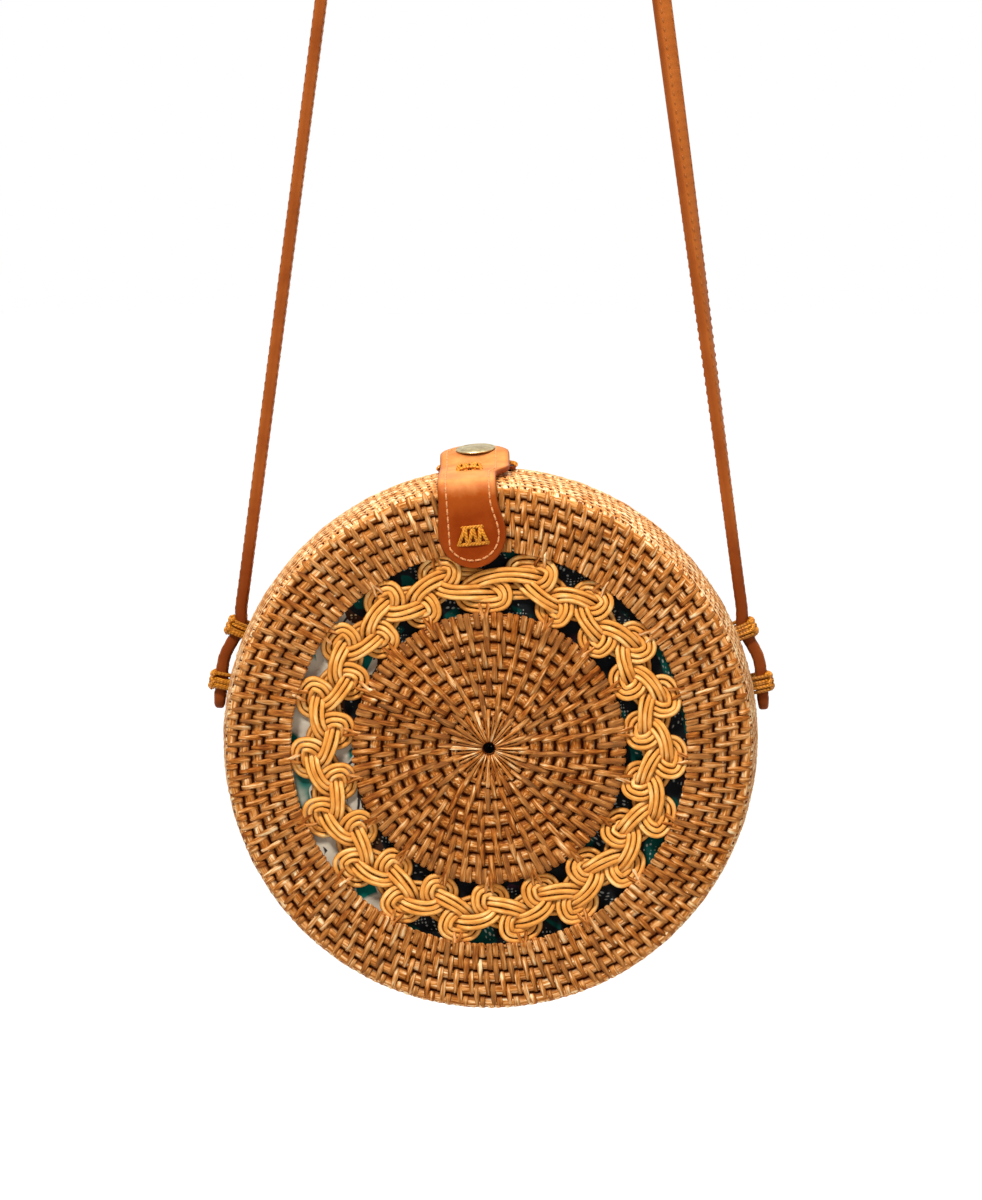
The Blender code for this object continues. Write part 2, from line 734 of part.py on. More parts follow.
def make_tab_lashings(materials, frames):
    """Rows of waxed thread that tie the tab to the front half."""
    width, height = TAB_LASHING_LOWER
    section = chamfered(width, THREAD_THICKNESS, THREAD_THICKNESS / 3)
    face = -HALF_DEPTH - GAP - TAB_THICKNESS - GAP - THREAD_THICKNESS / 2
    lashing_radius = CORNER_FLAT_RADIUS - TAB_LASHING_LOWER_DROP
    stations = []
    for share in (-0.5, 0.5):
        centre = Vector((0, face, lashing_radius + share * height))
        stations.append((centre, Vector((1, 0, 0)), Vector((0, -1, 0)), section))
    mesh = sweep(stations)
    mesh.transform(frames["tab"][1])
    finish_mesh("tab_lashing_lower", mesh, materials["waxed_thread"], frames["hinge"])

    width, depth = TAB_LASHING_UPPER
    section = chamfered(width, THREAD_THICKNESS, THREAD_THICKNESS / 3)
    near = TAB_LASHING_UPPER_SETBACK - depth / 2
    seat = wall_radius(near) + GAP + TAB_THICKNESS + GAP + THREAD_THICKNESS / 2
    stations = []
    for share in (-0.5, 0.5):
        centre = Vector((0, share * depth - TAB_LASHING_UPPER_SETBACK, seat))
        stations.append((centre, Vector((1, 0, 0)), Vector((0, 0, 1)), section))
    mesh = sweep(stations)
    mesh.transform(frames["tab"][1])
    finish_mesh("tab_lashing_upper", mesh, materials["waxed_thread"], frames["hinge"])


# Strap, drawn for the right side in the bag's frame and mirrored for the left

def strap_stand(height, stand_off):
    """Middle of the strap at a height, standing off the wall."""
    radius = BAG_RADIUS + stand_off + STRAP_THICKNESS / 2
    return Vector((math.sqrt(radius ** 2 - height ** 2), STRAP_SETBACK, height))


def strap_foot():
    """Middle of the strap on the swing axis."""
    upper = strap_stand(UPPER_LASHING_HEIGHT, STRAP_STAND_OFF)
    lean = math.atan2(upper.x - STRAP_PEG_RADIUS, STRAP_DROP)
    climb = SWING_HEIGHT - upper.z
    return Vector((upper.x - climb * math.tan(lean), STRAP_SETBACK, SWING_HEIGHT))


def mirrored(points, side):
    return [Vector((side * point.x, point.y, point.z)) for point in points]


def strap_station(point, tangent, side, section, twist=0.0):
    across = Vector((0, 1, 0))
    outward = across.cross(tangent).normalized() * side
    if twist:
        turn = Matrix.Rotation(twist, 3, tangent)
        across = turn @ across
        outward = turn @ outward
    return point, across, outward, section


def strap_end_row():
    """Middle line of the right strap end: down past both lashings, bulging between them."""
    top = UPPER_LASHING_HEIGHT + STRAP_LASHING_HEIGHT / 2
    bulge = (UPPER_LASHING_HEIGHT + LOWER_LASHING_HEIGHT) / 2
    foot = strap_foot()
    upper = strap_stand(UPPER_LASHING_HEIGHT, STRAP_STAND_OFF)
    start = upper.lerp(foot, (top - upper.z) / (foot.z - upper.z))
    path = [start, upper,
            strap_stand(bulge, STRAP_STAND_OFF + STRAP_BULGE),
            strap_stand(LOWER_LASHING_HEIGHT, STRAP_STAND_OFF + STRAP_BULGE / 4),
            strap_stand(STRAP_TIP_HEIGHT, STRAP_STAND_OFF)]
    return smooth_row(path, STRAP_END_STEPS)


def make_strap_end(name, side, materials, frames):
    row = mirrored(strap_end_row(), side)
    remaining = line_length(row)
    stations = []
    for index, (point, tangent) in enumerate(zip(row, directions(row))):
        if index:
            remaining -= (point - row[index - 1]).length
        width = max(round_end_width(remaining, STRAP_WIDTH), STRAP_WIDTH / 2)
        section = chamfered(width, STRAP_THICKNESS, STRAP_EDGE)
        stations.append(strap_station(point, tangent, side, section))
    finish_mesh(name, sweep(stations), materials["leather"], frames["swing"])


def row_point(row, height):
    """Where a falling row of points passes a height."""
    for start, end in zip(row, row[1:]):
        if end.z <= height:
            break
    return start.lerp(end, (height - start.z) / (end.z - start.z))


def make_strap_lashing(name, side, height, materials, frames):
    """Thread over the strap's outer face and down both edges to the wall."""
    row = strap_end_row()
    half = STRAP_LASHING_HEIGHT / 2
    high = row_point(row, height + half)
    low = row_point(row, height - half)
    back = Vector((0, 1, 0))
    outward = back.cross((low - high).normalized()) * -1
    inner = STRAP_WIDTH / 2 + GAP
    outer = inner + THREAD_THICKNESS
    under = STRAP_THICKNESS / 2 + GAP
    over = under + THREAD_THICKNESS
    edge = THREAD_THICKNESS / 2
    stations = []
    for point in (low, high):
        flat = Vector((point.x, 0, point.z))
        away = flat.dot(outward)
        wall = (BAG_RADIUS + GAP) ** 2
        foot = math.sqrt(away ** 2 - flat.length_squared + wall) - away
        outline = [(-outer, foot), (-outer, over - edge), (edge - outer, over),
                   (outer - edge, over), (outer, over - edge), (outer, foot), (inner, foot),
                   (inner, under), (-inner, under), (-inner, foot)]
        stations.append((point, back, outward, outline))
    mesh = sweep(stations)
    mesh.transform(Matrix.Diagonal((side, 1, 1, 1)))
    finish_mesh(name, mesh, materials["waxed_thread"], frames["swing"])


def strap_lean(foot):
    """Angle of the straight run from upright, where it meets the top arc squarely."""
    arc = STRAP_PEG_RADIUS + STRAP_THICKNESS / 2
    rise = STRAP_DROP - STRAP_PEG_RADIUS
    return math.acos(arc / math.hypot(foot.x, rise)) - math.atan2(rise, foot.x)


def make_strap(materials):
    """The long loop: up the left run, over the peg and down the right run."""
    foot = strap_foot() + BAG_CENTRE
    foot.y = 0
    arc = STRAP_PEG_RADIUS + STRAP_THICKNESS / 2
    lean = strap_lean(foot)
    centre = Vector((0, 0, -STRAP_PEG_RADIUS))
    touch = centre + Vector((arc * math.cos(lean), 0, arc * math.sin(lean)))
    run = (touch - foot).length
    knuckle = STRAP_WIDTH / 2
    marks = [(share - 1) * knuckle for share in ROUND_END_SHARES[1:]]
    marks += [run * step / STRAP_RUN_STEPS for step in range(1, STRAP_RUN_STEPS)]
    climb = (touch - foot).normalized()
    right = []
    for mark in marks:
        width = round_end_width(mark + knuckle, STRAP_WIDTH) if mark < 0 else STRAP_WIDTH
        share = min(max(mark / run, 0), 1)
        twist = math.radians(STRAP_TWIST_DEG) * math.sin(math.pi * share) ** 2
        right.append((foot + climb * mark, climb, width, twist))
    stations = []
    for point, tangent, width, _ in right:
        flipped = Vector((-point.x, 0, point.z))
        section = chamfered(width, STRAP_THICKNESS, STRAP_EDGE)
        stations.append(strap_station(flipped, Vector((-tangent.x, 0, tangent.z)), -1, section))
    for step in range(STRAP_ARC_STEPS + 1):
        turn = math.pi - lean - (math.pi - 2 * lean) * step / STRAP_ARC_STEPS
        spoke = Vector((math.cos(turn), 0, math.sin(turn)))
        section = chamfered(STRAP_WIDTH, STRAP_THICKNESS, STRAP_EDGE)
        stations.append((centre + spoke * arc, Vector((0, 1, 0)), spoke, section))
    for point, tangent, width, twist in reversed(right):
        section = chamfered(width, STRAP_THICKNESS, STRAP_EDGE)
        stations.append(strap_station(point, tangent, 1, section, twist))
    mesh = sweep(stations)
    world = (None, Matrix.Identity(4))
    finish_mesh("strap", mesh, materials["leather"], world)


def main():
    clear_scene()
    materials = make_materials()
    frames = make_frames()
    make_front_ring_shell(materials, frames)
    make_centre_disc(materials, frames)
    make_braid_strand("braid_strand_inner", 0.5, 1, materials, frames)
    make_braid_strand("braid_strand_outer", 0, -1, materials, frames)
    make_front_lining(materials, frames)
    make_back_shell(materials, frames)
    make_back_lining(materials, frames)
    make_hinge_loops(materials, frames)
    make_tab_base(materials, frames)
    make_tab_lashings(materials, frames)
    make_tab_flap(materials, frames)
    make_snap_cap(materials, frames)
    make_snap_socket(materials, frames)
    make_closure_patch(materials, frames)
    make_patch_lashings(materials, frames)
    make_snap_stud(materials, frames)
    for side_name, side in (("left", -1), ("right", 1)):
        make_strap_end("strap_end_" + side_name, side, materials, frames)
        for row_name, height in (("upper", UPPER_LASHING_HEIGHT),
                                 ("lower", LOWER_LASHING_HEIGHT)):
            name = "strap_lashing_" + row_name + "_" + side_name
            make_strap_lashing(name, side, height, materials, frames)
    make_strap(materials)


main()
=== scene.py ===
"""Looks of the braided crossbody bag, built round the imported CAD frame. Metres, +Z up.

The bag's own frame has its origin at the middle of the seam between its halves. Its
round axis runs along Y and its face looks along -Y. Angles are clockwise from the top,
seen from the front. A distance named depth runs from a flat face in towards the seam.
Shares run from 0 to 1 or from -1 to 1 over what they follow.
"""

import math
import random

import bpy
import numpy as np
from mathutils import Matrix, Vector


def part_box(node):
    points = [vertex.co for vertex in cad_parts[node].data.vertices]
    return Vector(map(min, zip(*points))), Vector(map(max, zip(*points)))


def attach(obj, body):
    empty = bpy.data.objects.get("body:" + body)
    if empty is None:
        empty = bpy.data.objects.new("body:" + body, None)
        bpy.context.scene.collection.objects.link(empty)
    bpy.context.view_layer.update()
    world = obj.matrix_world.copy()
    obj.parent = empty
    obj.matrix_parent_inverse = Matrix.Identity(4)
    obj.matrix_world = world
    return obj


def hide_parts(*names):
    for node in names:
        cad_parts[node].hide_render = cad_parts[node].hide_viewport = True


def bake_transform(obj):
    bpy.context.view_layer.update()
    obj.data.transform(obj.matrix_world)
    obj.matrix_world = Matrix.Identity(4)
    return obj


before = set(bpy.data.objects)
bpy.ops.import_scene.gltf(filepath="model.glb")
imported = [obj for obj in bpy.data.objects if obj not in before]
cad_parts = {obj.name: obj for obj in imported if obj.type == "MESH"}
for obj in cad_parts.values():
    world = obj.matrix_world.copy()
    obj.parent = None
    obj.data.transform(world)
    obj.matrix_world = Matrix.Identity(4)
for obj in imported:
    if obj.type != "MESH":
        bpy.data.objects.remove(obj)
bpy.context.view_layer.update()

TAU = math.tau
BLACK = (0, 0, 0)
WHITE = (1, 1, 1)
ACROSS = np.array((1.0, 0.0, 0.0))
BACK = np.array((0.0, 1.0, 0.0))

# Place and sizes of the bag, from the frame
back_low, back_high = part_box("back_shell")
ring_low, ring_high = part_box("front_ring_shell")
disc_low, disc_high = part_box("centre_disc")
BAG = np.array((0.0, (back_low[1] + ring_high[1]) / 2, (back_low[2] + back_high[2]) / 2))
HALF = back_high[1] - BAG[1]
RADIUS = back_high[0]
DISC_OUT = disc_high[0]
WALL = disc_high[1] - disc_low[1]

# Sizes that the boxes don't show, as in the CAD
BULGE = 0.0025
CORNER = 0.0035
RING_IN = 0.0736
GAP = 0.0003
FLAT = RADIUS - BULGE - CORNER

dice = random.Random(7)
noise = np.random.RandomState(11)


# Small vector tools

def unit(vectors):
    return vectors / np.linalg.norm(vectors, axis=-1, keepdims=True)


def travelled(points):
    """Distance along a line of points, from the first to each."""
    steps = np.linalg.norm(np.diff(points, axis=0), axis=1)
    return np.concatenate([[0], np.cumsum(steps)])


def sample(marks, travel, values):
    """Rows of values, read where the distance travelled passes each mark."""
    return np.stack([np.interp(marks, travel, column) for column in np.transpose(values)], 1)


def catmull(points, steps, advance=None):
    """Smooth curve through points, with this many steps for each stretch. With an advance
    it is endless, and its points have moved on by that much after one round."""
    points = np.asarray(points, float)
    if advance is None:
        row = np.concatenate([2 * points[:1] - points[1:2], points, 2 * points[-1:] - points[-2:-1]])
    else:
        row = np.concatenate([points[-1:] - advance, points, points[:2] + advance])
    t = np.arange(steps)[:, None] / steps
    out = [0.5 * (2 * b + (c - a) * t + (2 * a - 5 * b + 4 * c - d) * t * t
                  + (3 * b - a - 3 * c + d) * t ** 3)
           for a, b, c, d in zip(row, row[1:], row[2:], row[3:])]
    if advance is None:
        out.append(points[-1:])
    return np.concatenate(out)


def tangents(points, closed=False):
    if closed:
        return unit(np.roll(points, -1, axis=0) - np.roll(points, 1, axis=0))
    return unit(np.gradient(points, axis=0))


def smooth(share):
    share = np.clip(share, 0, 1)
    return share * share * (3 - 2 * share)


def circle(count, width, height):
    turns = np.arange(count) * TAU / count
    return np.stack([np.cos(turns) * width, np.sin(turns) * height], 1)


def spoke(turn):
    """Directions outward and clockwise at an angle."""
    sine, cosine = math.sin(turn), math.cos(turn)
    return np.array((sine, 0.0, cosine)), np.array((cosine, 0.0, -sine))


def around(radius, turn, y):
    """World points at a radius, an angle and a place along the bag's axis."""
    return BAG + np.stack(np.broadcast_arrays(radius * np.sin(turn), y, radius * np.cos(turn)), -1)


# Pieces: points and faces gathered as grids. Each point also has its place along and
# across its cane or thread, and a tone: shade, with painted highlights and shade in it,
# how clear of the gaps it is, which sets the painted shade there, and wear.

class Piece:
    def __init__(self, name):
        self.name = name
        self.points = []
        self.faces = []
        self.lay = []
        self.tone = []
        self.count = 0

    def grid(self, points, lay, tone, loop=False):
        """Tubes as an array (tube, station, corner of the section, 3)."""
        tubes, stations, corners, _ = points.shape
        index = np.arange(tubes * stations * corners).reshape(tubes, stations, corners)
        here, ahead = (index, np.roll(index, -1, axis=1)) if loop else (index[:, :-1], index[:, 1:])
        corner_rows = (here, np.roll(here, -1, axis=2), np.roll(ahead, -1, axis=2), ahead)
        quads = np.stack(corner_rows, -1).reshape(-1, 4)
        faces = quads.tolist()
        if not loop:
            faces += index[:, 0, ::-1].tolist()
            faces += index[:, -1].tolist()
        flat = points.reshape(-1, 3)
        first = flat[quads[quads.max(1) < stations * corners]]
        first = first - first.reshape(-1, 3).mean(0)
        volume = sum(np.einsum("ij,ij->i", first[:, 0], np.cross(first[:, side], first[:, side + 1])).sum()
                     for side in (1, 2))
        if volume < 0:
            faces = [face[::-1] for face in faces]
        self.faces += [[corner + self.count for corner in face] for face in faces]
        self.points.append(flat)
        self.lay.append(np.broadcast_to(lay, points.shape).reshape(-1, 3))
        self.tone.append(np.broadcast_to(tone, points.shape).reshape(-1, 3))
        self.count += len(flat)

    def tube(self, centres, outward, section, loop=False, tone=(0.5, 1, 0), seed=0.0):
        """One tube along a row of centres; outward is the way the section's second axis points."""
        centres = np.asarray(centres, float)
        along = tangents(centres, loop)
        across = unit(np.cross(along, outward))
        up = np.cross(across, along)
        points = centres[:, None] + across[:, None] * section[:, 0:1] + up[:, None] * section[:, 1:2]
        lay = np.zeros(points.shape)
        lay[..., 0] = travelled(centres)[:, None]
        lay[..., 1] = section[:, 0] + 0.7 * section[:, 1]
        lay[..., 2] = seed
        self.grid(points[None], lay[None], np.asarray(tone, float), loop)

    def finish(self, material, slot, nodes, *bodies, smooth_deg=50, **bend):
        """Build the piece in the place of its nodes, which are hidden. It rides on a body; one
        given a start and an end is baked where it stands and rides on none."""
        mesh = bpy.data.meshes.new(self.name)
        mesh.from_pydata(np.concatenate(self.points).tolist(), [], self.faces)
        for name, rows in (("lay", self.lay), ("tone", self.tone)):
            attribute = mesh.attributes.new(name, "FLOAT_VECTOR", "POINT")
            attribute.data.foreach_set("vector", np.concatenate(rows).astype(np.float32).ravel())
        mesh.shade_smooth()
        mesh.set_sharp_from_angle(angle=math.radians(smooth_deg))
        mesh.materials.append(material)
        obj = bpy.data.objects.new(self.name, mesh)
        bpy.context.scene.collection.objects.link(obj)
        if nodes:
            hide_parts(*nodes)
        if bend:
            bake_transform(obj)
        else:
            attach(obj, *bodies)
        return obj


# Materials

class Nodes:
    """Shader nodes of a material or of the world."""

    def __init__(self, owner):
        owner.use_nodes = True
        self.owner = owner
        self.tree = owner.node_tree
        self.shader = self.tree.nodes.get("Principled BSDF")

    def put(self, value, socket):
        """Link an output to a socket, or set the socket's own value."""
        if isinstance(value, bpy.types.NodeSocket):
            self.tree.links.new(value, socket)
        else:
            socket.default_value = (*value, 1) if socket.type == "RGBA" else value

    def add(self, kind, inputs=(), **settings):
        node = self.tree.nodes.new("ShaderNode" + kind)
        for key, value in settings.items():
            setattr(node, key, value)
        for key, value in dict(inputs).items():
            self.put(value, node.inputs[key])
        return node

    def math(self, operation, first, second=0.0, clamp=False):
        return self.add("Math", {0: first, 1: second}, operation=operation, use_clamp=clamp).outputs[0]

    def raised(self, value, pattern, strength, clamp=False):
        """A value raised by a share of a pattern."""
        return self.math("ADD", value, self.math("MULTIPLY", pattern, strength), clamp)

    def varied(self, value, pattern, strength, clamp=False):
        """A value moved up and down by a share of a pattern."""
        return self.raised(value, self.math("SUBTRACT", pattern, 0.5), strength, clamp)

    def ramp(self, factor, stops):
        node = self.add("ValToRGB", {0: factor})
        ramp = node.color_ramp
        while len(ramp.elements) < len(stops):
            ramp.elements.new(0.5)
        for element, (place, colour) in zip(ramp.elements, stops):
            element.position = place
            element.color = (*colour, 1)
        return node.outputs[0]

    def mix(self, factor, first, second):
        return self.add("Mix", {0: factor, 6: first, 7: second}, data_type="RGBA").outputs[2]

    def in_gaps(self, colour, clear, dark):
        """A colour that turns to a painted shade colour where a point isn't clear of the gaps."""
        return self.mix(self.math("SUBTRACT", 1.0, clear, True), colour, dark)

    def attribute(self, name):
        node = self.add("Attribute", attribute_name=name)
        split = self.add("SeparateXYZ", {0: node.outputs["Vector"]})
        return node.outputs["Vector"], split.outputs

    def place(self):
        return self.add("TexCoord").outputs["Object"]

    def noise(self, vector, scale=1.0, detail=2.0, roughness=0.55):
        return self.add("TexNoise", {"Vector": vector, "Scale": scale, "Detail": detail,
                                     "Roughness": roughness}).outputs[0]

    def vector(self, operation, first, second):
        return self.add("VectorMath", {0: first, 1: second}, operation=operation).outputs[0]

    def scaled(self, vector, factors):
        return self.vector("MULTIPLY", vector, factors)

    def bump(self, height, distance, strength, normal=None):
        inputs = {"Height": height, "Distance": distance, "Strength": strength}
        if normal:
            inputs["Normal"] = normal
        return self.add("Bump", inputs).outputs[0]

    def finish(self, colour, roughness, normal, **values):
        for key, value in {"Base_Color": colour, "Roughness": roughness, "Normal": normal, **values}.items():
            self.put(value, self.shader.inputs[key.replace("_", " ")])
        return self.owner


# Scale of each pattern along a cane, across it, and from one cane to the next
STREAKS = (110, 1150, 40)
FIBRES = (260, 4200, 40)
BLOTCHES = (170, 260, 90)
WEATHERED = (0.28, 0.138, 0.045)
WEATHERED_SHARE = 0.45

# Scale of a thread's twist and of its wax
TWIST = 5200.0
WAX = (900, 900, 900)


def new_nodes(name):
    return Nodes(bpy.data.materials.new(name))


def cane_material(name, stops, gap_shade_and_grime, gloss, fibre, shine):
    """Split vine: long fibres along each cane, a tone for each cane, and painted shade with some grime in the
    gaps.
    """
    n = new_nodes(name)
    lay, _ = n.attribute("lay")
    _, tone = n.attribute("tone")
    streaks = n.noise(n.scaled(lay, STREAKS), detail=4.0, roughness=0.6)
    fibres = n.noise(n.scaled(lay, FIBRES))
    value = n.varied(tone[0], streaks, fibre)
    value = n.varied(value, fibres, 0.4 * fibre)
    value = n.varied(value, n.noise(n.scaled(lay, BLOTCHES)), 0.8, True)
    colour = n.mix(n.math("MULTIPLY", tone[2], WEATHERED_SHARE), n.ramp(value, stops), WEATHERED)
    # Painted shade, with some grime, where a point isn't clear of the gaps
    colour = n.in_gaps(colour, tone[1], gap_shade_and_grime)
    grain = n.bump(fibres, 0.00012, 0.6, n.bump(streaks, 0.0003, 0.7))
    return n.finish(colour, n.raised(gloss, streaks, 0.25), grain, Specular_IOR_Level=shine)


def leather_material(name, light, mid, dark, edge):
    """Leather with clouds of tone, fine grain and pores, and its own colour at the edges."""
    n = new_nodes(name)
    place = n.place()
    _, tone = n.attribute("tone")
    clouds = n.noise(place, 90.0, 4.0)
    grain = n.add("TexVoronoi", {"Vector": place, "Scale": 1500.0}, feature="DISTANCE_TO_EDGE").outputs[0]
    colour = n.ramp(n.varied(tone[0], clouds, 0.8, True), [(0.1, dark), (0.5, mid), (0.9, light)])
    height = n.raised(n.math("MULTIPLY", grain, 1.2), n.noise(place, 2600.0), 0.5)
    return n.finish(n.mix(tone[2], colour, edge), n.raised(0.34, clouds, 0.2), n.bump(height, 0.00008, 0.5),
                    Specular_IOR_Level=0.05)


def thread_material(name, light, dark):
    """Waxed thread, twisted round its length."""
    n = new_nodes(name)
    lay, split = n.attribute("lay")
    _, tone = n.attribute("tone")
    slant = n.raised(n.math("MULTIPLY", split[0], TWIST), split[1], TWIST)
    twist = n.raised(0.5, n.math("SINE", slant), 0.5)
    wax = n.noise(n.scaled(lay, WAX))
    value = n.raised(n.math("MULTIPLY", wax, 0.65), twist, 0.35, True)
    shadow = tuple(0.2 * part for part in dark)
    colour = n.in_gaps(n.ramp(value, [(0.2, dark), (0.75, light)]), tone[1], shadow)
    return n.finish(colour, 0.42, n.bump(twist, 0.00012, 0.8), Specular_IOR_Level=0.1, Coat_Weight=0.02)


def brass_material():
    n = new_nodes("antique_brass_look")
    tarnish = n.noise(n.place(), 420.0, 4.0)
    scratches = n.noise(n.scaled(n.place(), (300, 4200, 300)))
    colour = n.ramp(tarnish, [(0.3, (0.30, 0.22, 0.10)), (0.6, (0.56, 0.46, 0.24))])
    return n.finish(colour, n.raised(0.24, scratches, 0.25), n.bump(scratches, 0.00003, 0.4), Metallic=1.0)


# Print of the lining: how far its shapes bend, where the cream part starts and how much
# its edge wanders, and the middle and half width of its border
PRINT_BEND = 0.016
CREAM_SIDE = 0.043
CREAM_WANDER = 0.07
BORDER_MIDDLE = 0.0008
BORDER_HALF_WIDTH = 0.0016


def lining_material():
    """Printed cotton: dark ground with rows of pale dots, teal leaves, and a cream part on the left."""
    n = new_nodes("lining_cloth")
    place = n.vector("ADD", n.place(), tuple(-BAG))
    warp = n.add("TexNoise", {"Vector": place, "Scale": 55.0, "Detail": 1.0}).outputs[1]
    warp = n.vector("ADD", warp, (-0.5, -0.5, -0.5))
    bent = n.vector("ADD", place, n.scaled(warp, (PRINT_BEND,) * 3))
    leaf = n.add("TexVoronoi", {"Vector": n.scaled(bent, (1.0, 1.0, 0.6)), "Scale": 75.0},
                 feature="DISTANCE_TO_EDGE").outputs[0]
    leaves = n.ramp(leaf, [(0.17, BLACK), (0.19, WHITE)])
    outline = n.ramp(leaf, [(0.08, BLACK), (0.10, WHITE), (0.14, WHITE), (0.16, BLACK)])
    dots = n.add("TexVoronoi", {"Vector": bent, "Scale": 640.0, "Randomness": 0.2}).outputs[0]
    dot = n.ramp(dots, [(0.22, WHITE), (0.34, BLACK)])
    bands = n.add("TexWave", {"Vector": bent, "Scale": 34.0, "Distortion": 3.0},
                  bands_direction="DIAGONAL").outputs[1]
    strewn = n.math("MULTIPLY", dot, n.ramp(bands, [(0.45, BLACK), (0.6, WHITE)]))
    region = n.noise(place, 42.0, 1.0)
    teal = n.math("MULTIPLY", leaves, n.ramp(region, [(0.46, BLACK), (0.49, WHITE)]))
    plum = n.math("MULTIPLY", leaves, n.ramp(region, [(0.33, WHITE), (0.36, BLACK)]))
    ground = n.mix(teal, (0.007, 0.008, 0.009), (0.001, 0.060, 0.045))
    ground = n.mix(plum, ground, (0.045, 0.012, 0.022))
    ground = n.mix(n.math("MULTIPLY", strewn, 0.8), ground, (0.42, 0.44, 0.38))
    split = n.add("SeparateXYZ", {0: bent}).outputs
    wander = n.varied(-CREAM_SIDE, n.noise(place, 24.0, 1.0), CREAM_WANDER)
    side = n.math("SUBTRACT", wander, split[0])
    off_border = n.math("ABSOLUTE", n.math("SUBTRACT", side, BORDER_MIDDLE))
    border = n.math("LESS_THAN", off_border, BORDER_HALF_WIDTH)
    pale = n.mix(teal, (0.66, 0.58, 0.44), (0.0, 0.13, 0.10))
    curls = n.math("GREATER_THAN", n.noise(place, 90.0, 1.0), 0.5)
    pale = n.mix(n.math("MULTIPLY", outline, curls), pale, (0.03, 0.025, 0.025))
    colour = n.mix(n.math("GREATER_THAN", side, 0.0), ground, pale)
    colour = n.mix(border, colour, n.mix(dot, (0.05, 0.018, 0.008), (0.60, 0.42, 0.20)))
    threads = [n.add("TexWave", {"Vector": place, "Scale": 700.0}, bands_direction=way).outputs[1]
               for way in "XZ"]
    return n.finish(colour, 0.9, n.bump(n.math("MULTIPLY", *threads), 0.0001, 0.5), Specular_IOR_Level=0.1,
                    Sheen_Weight=0.05)


CANE = cane_material("coiled_cane_look",
                     [(0.0, (0.10, 0.020, 0.002)), (0.25, (0.26, 0.063, 0.008)), (0.5, (0.46, 0.145, 0.020)),
                      (0.75, (0.77, 0.345, 0.105)), (1.0, (1.0, 0.77, 0.44))],
                     gap_shade_and_grime=(0.085, 0.013, 0.0006), gloss=0.36, fibre=1.9, shine=0.04)
BRAID = cane_material("braid_cane_look",
                      [(0.0, (0.32, 0.080, 0.008)), (0.35, (0.60, 0.200, 0.026)), (0.7, (0.88, 0.38, 0.075)),
                       (1.0, (1.0, 0.70, 0.28))],
                      gap_shade_and_grime=(0.10, 0.022, 0.002), gloss=0.30, fibre=0.9, shine=0.08)
LEATHER = leather_material("tab_leather", (0.68, 0.27, 0.075), (0.37, 0.068, 0.007), (0.23, 0.030, 0.0018),
                           edge=(0.27, 0.050, 0.006))
STRAP_LEATHER = leather_material("strap_leather", (0.54, 0.155, 0.028), (0.42, 0.105, 0.017),
                                 (0.21, 0.040, 0.005), edge=(0.19, 0.038, 0.007))
THREAD = thread_material("waxed_thread_look", (0.88, 0.36, 0.032), (0.32, 0.070, 0.003))
TAB_STITCH = thread_material("stitching_thread", (0.80, 0.36, 0.14), (0.50, 0.17, 0.05))
STRAP_STITCH = thread_material("strap_thread", (0.48, 0.16, 0.035), (0.30, 0.08, 0.015))
BRASS = brass_material()
LINING = lining_material()


# Skins of revolution round the bag's axis

SEAM_SETBACK = 0.00003
FACE_STEP = 0.001
EDGE_ROUND_SHARE = 0.45


class Outline:
    """A profile of (radius, depth) points, read by the distance travelled along it. Half is
    -1 for the front of the bag and 1 for its back."""

    def __init__(self, points, half):
        self.line = np.asarray(points, float)
        self.half = half
        self.travel = travelled(self.line)
        along = unit(np.gradient(self.line, axis=0))
        self.normal = np.stack([along[:, 1], -along[:, 0]], 1)

    def at_radius(self, radius):
        """Distance along the flat face where it passes a radius."""
        flat = np.abs(self.line[:, 1]) < 1e-6
        return float(np.interp(radius, self.line[flat, 0], self.travel[flat]))

    def radius(self, travel):
        return np.interp(travel, self.travel, self.line[:, 0])

    def place(self, travel, turn, lift):
        """World points at a distance, an angle and a height above the skin."""
        radius = self.radius(travel) + lift * np.interp(travel, self.travel, self.normal[:, 0])
        depth = (np.interp(travel, self.travel, self.line[:, 1])
                 + lift * np.interp(travel, self.travel, self.normal[:, 1]))
        return around(radius, turn, self.half * (HALF - depth))


def wall_radius(depth):
    share = np.clip((HALF - depth) / (HALF - CORNER), 0, 1)
    return RADIUS - BULGE * share ** 2


def outer_points():
    """From the corner of the flat face to the seam."""
    turns = np.linspace(0, math.pi / 2, 9)
    corner = np.stack([FLAT + CORNER * np.sin(turns), CORNER - CORNER * np.cos(turns)], 1)
    depths = np.linspace(CORNER, HALF - SEAM_SETBACK, 24)[1:]
    return np.concatenate([corner, np.stack([wall_radius(depths), depths], 1)])


def flat_points(start, end):
    radii = np.linspace(start, end, int((end - start) / FACE_STEP), endpoint=False)
    return np.stack([radii, np.zeros(len(radii))], 1)


def edge_points(radius, side):
    """Rounded edge of a disc, with side 1, or of a hole, with -1, from the face to its back."""
    turns = np.linspace(0, math.pi, 9)
    half = WALL / 2
    reach = EDGE_ROUND_SHARE * half
    return np.stack([radius + side * (reach * np.sin(turns) - reach), half - half * np.cos(turns)], 1)


# Weave. A stitch has a section across it, in half widths and crown heights, and stations
# along it. Its places and sizes stray a little from one stitch to the next.

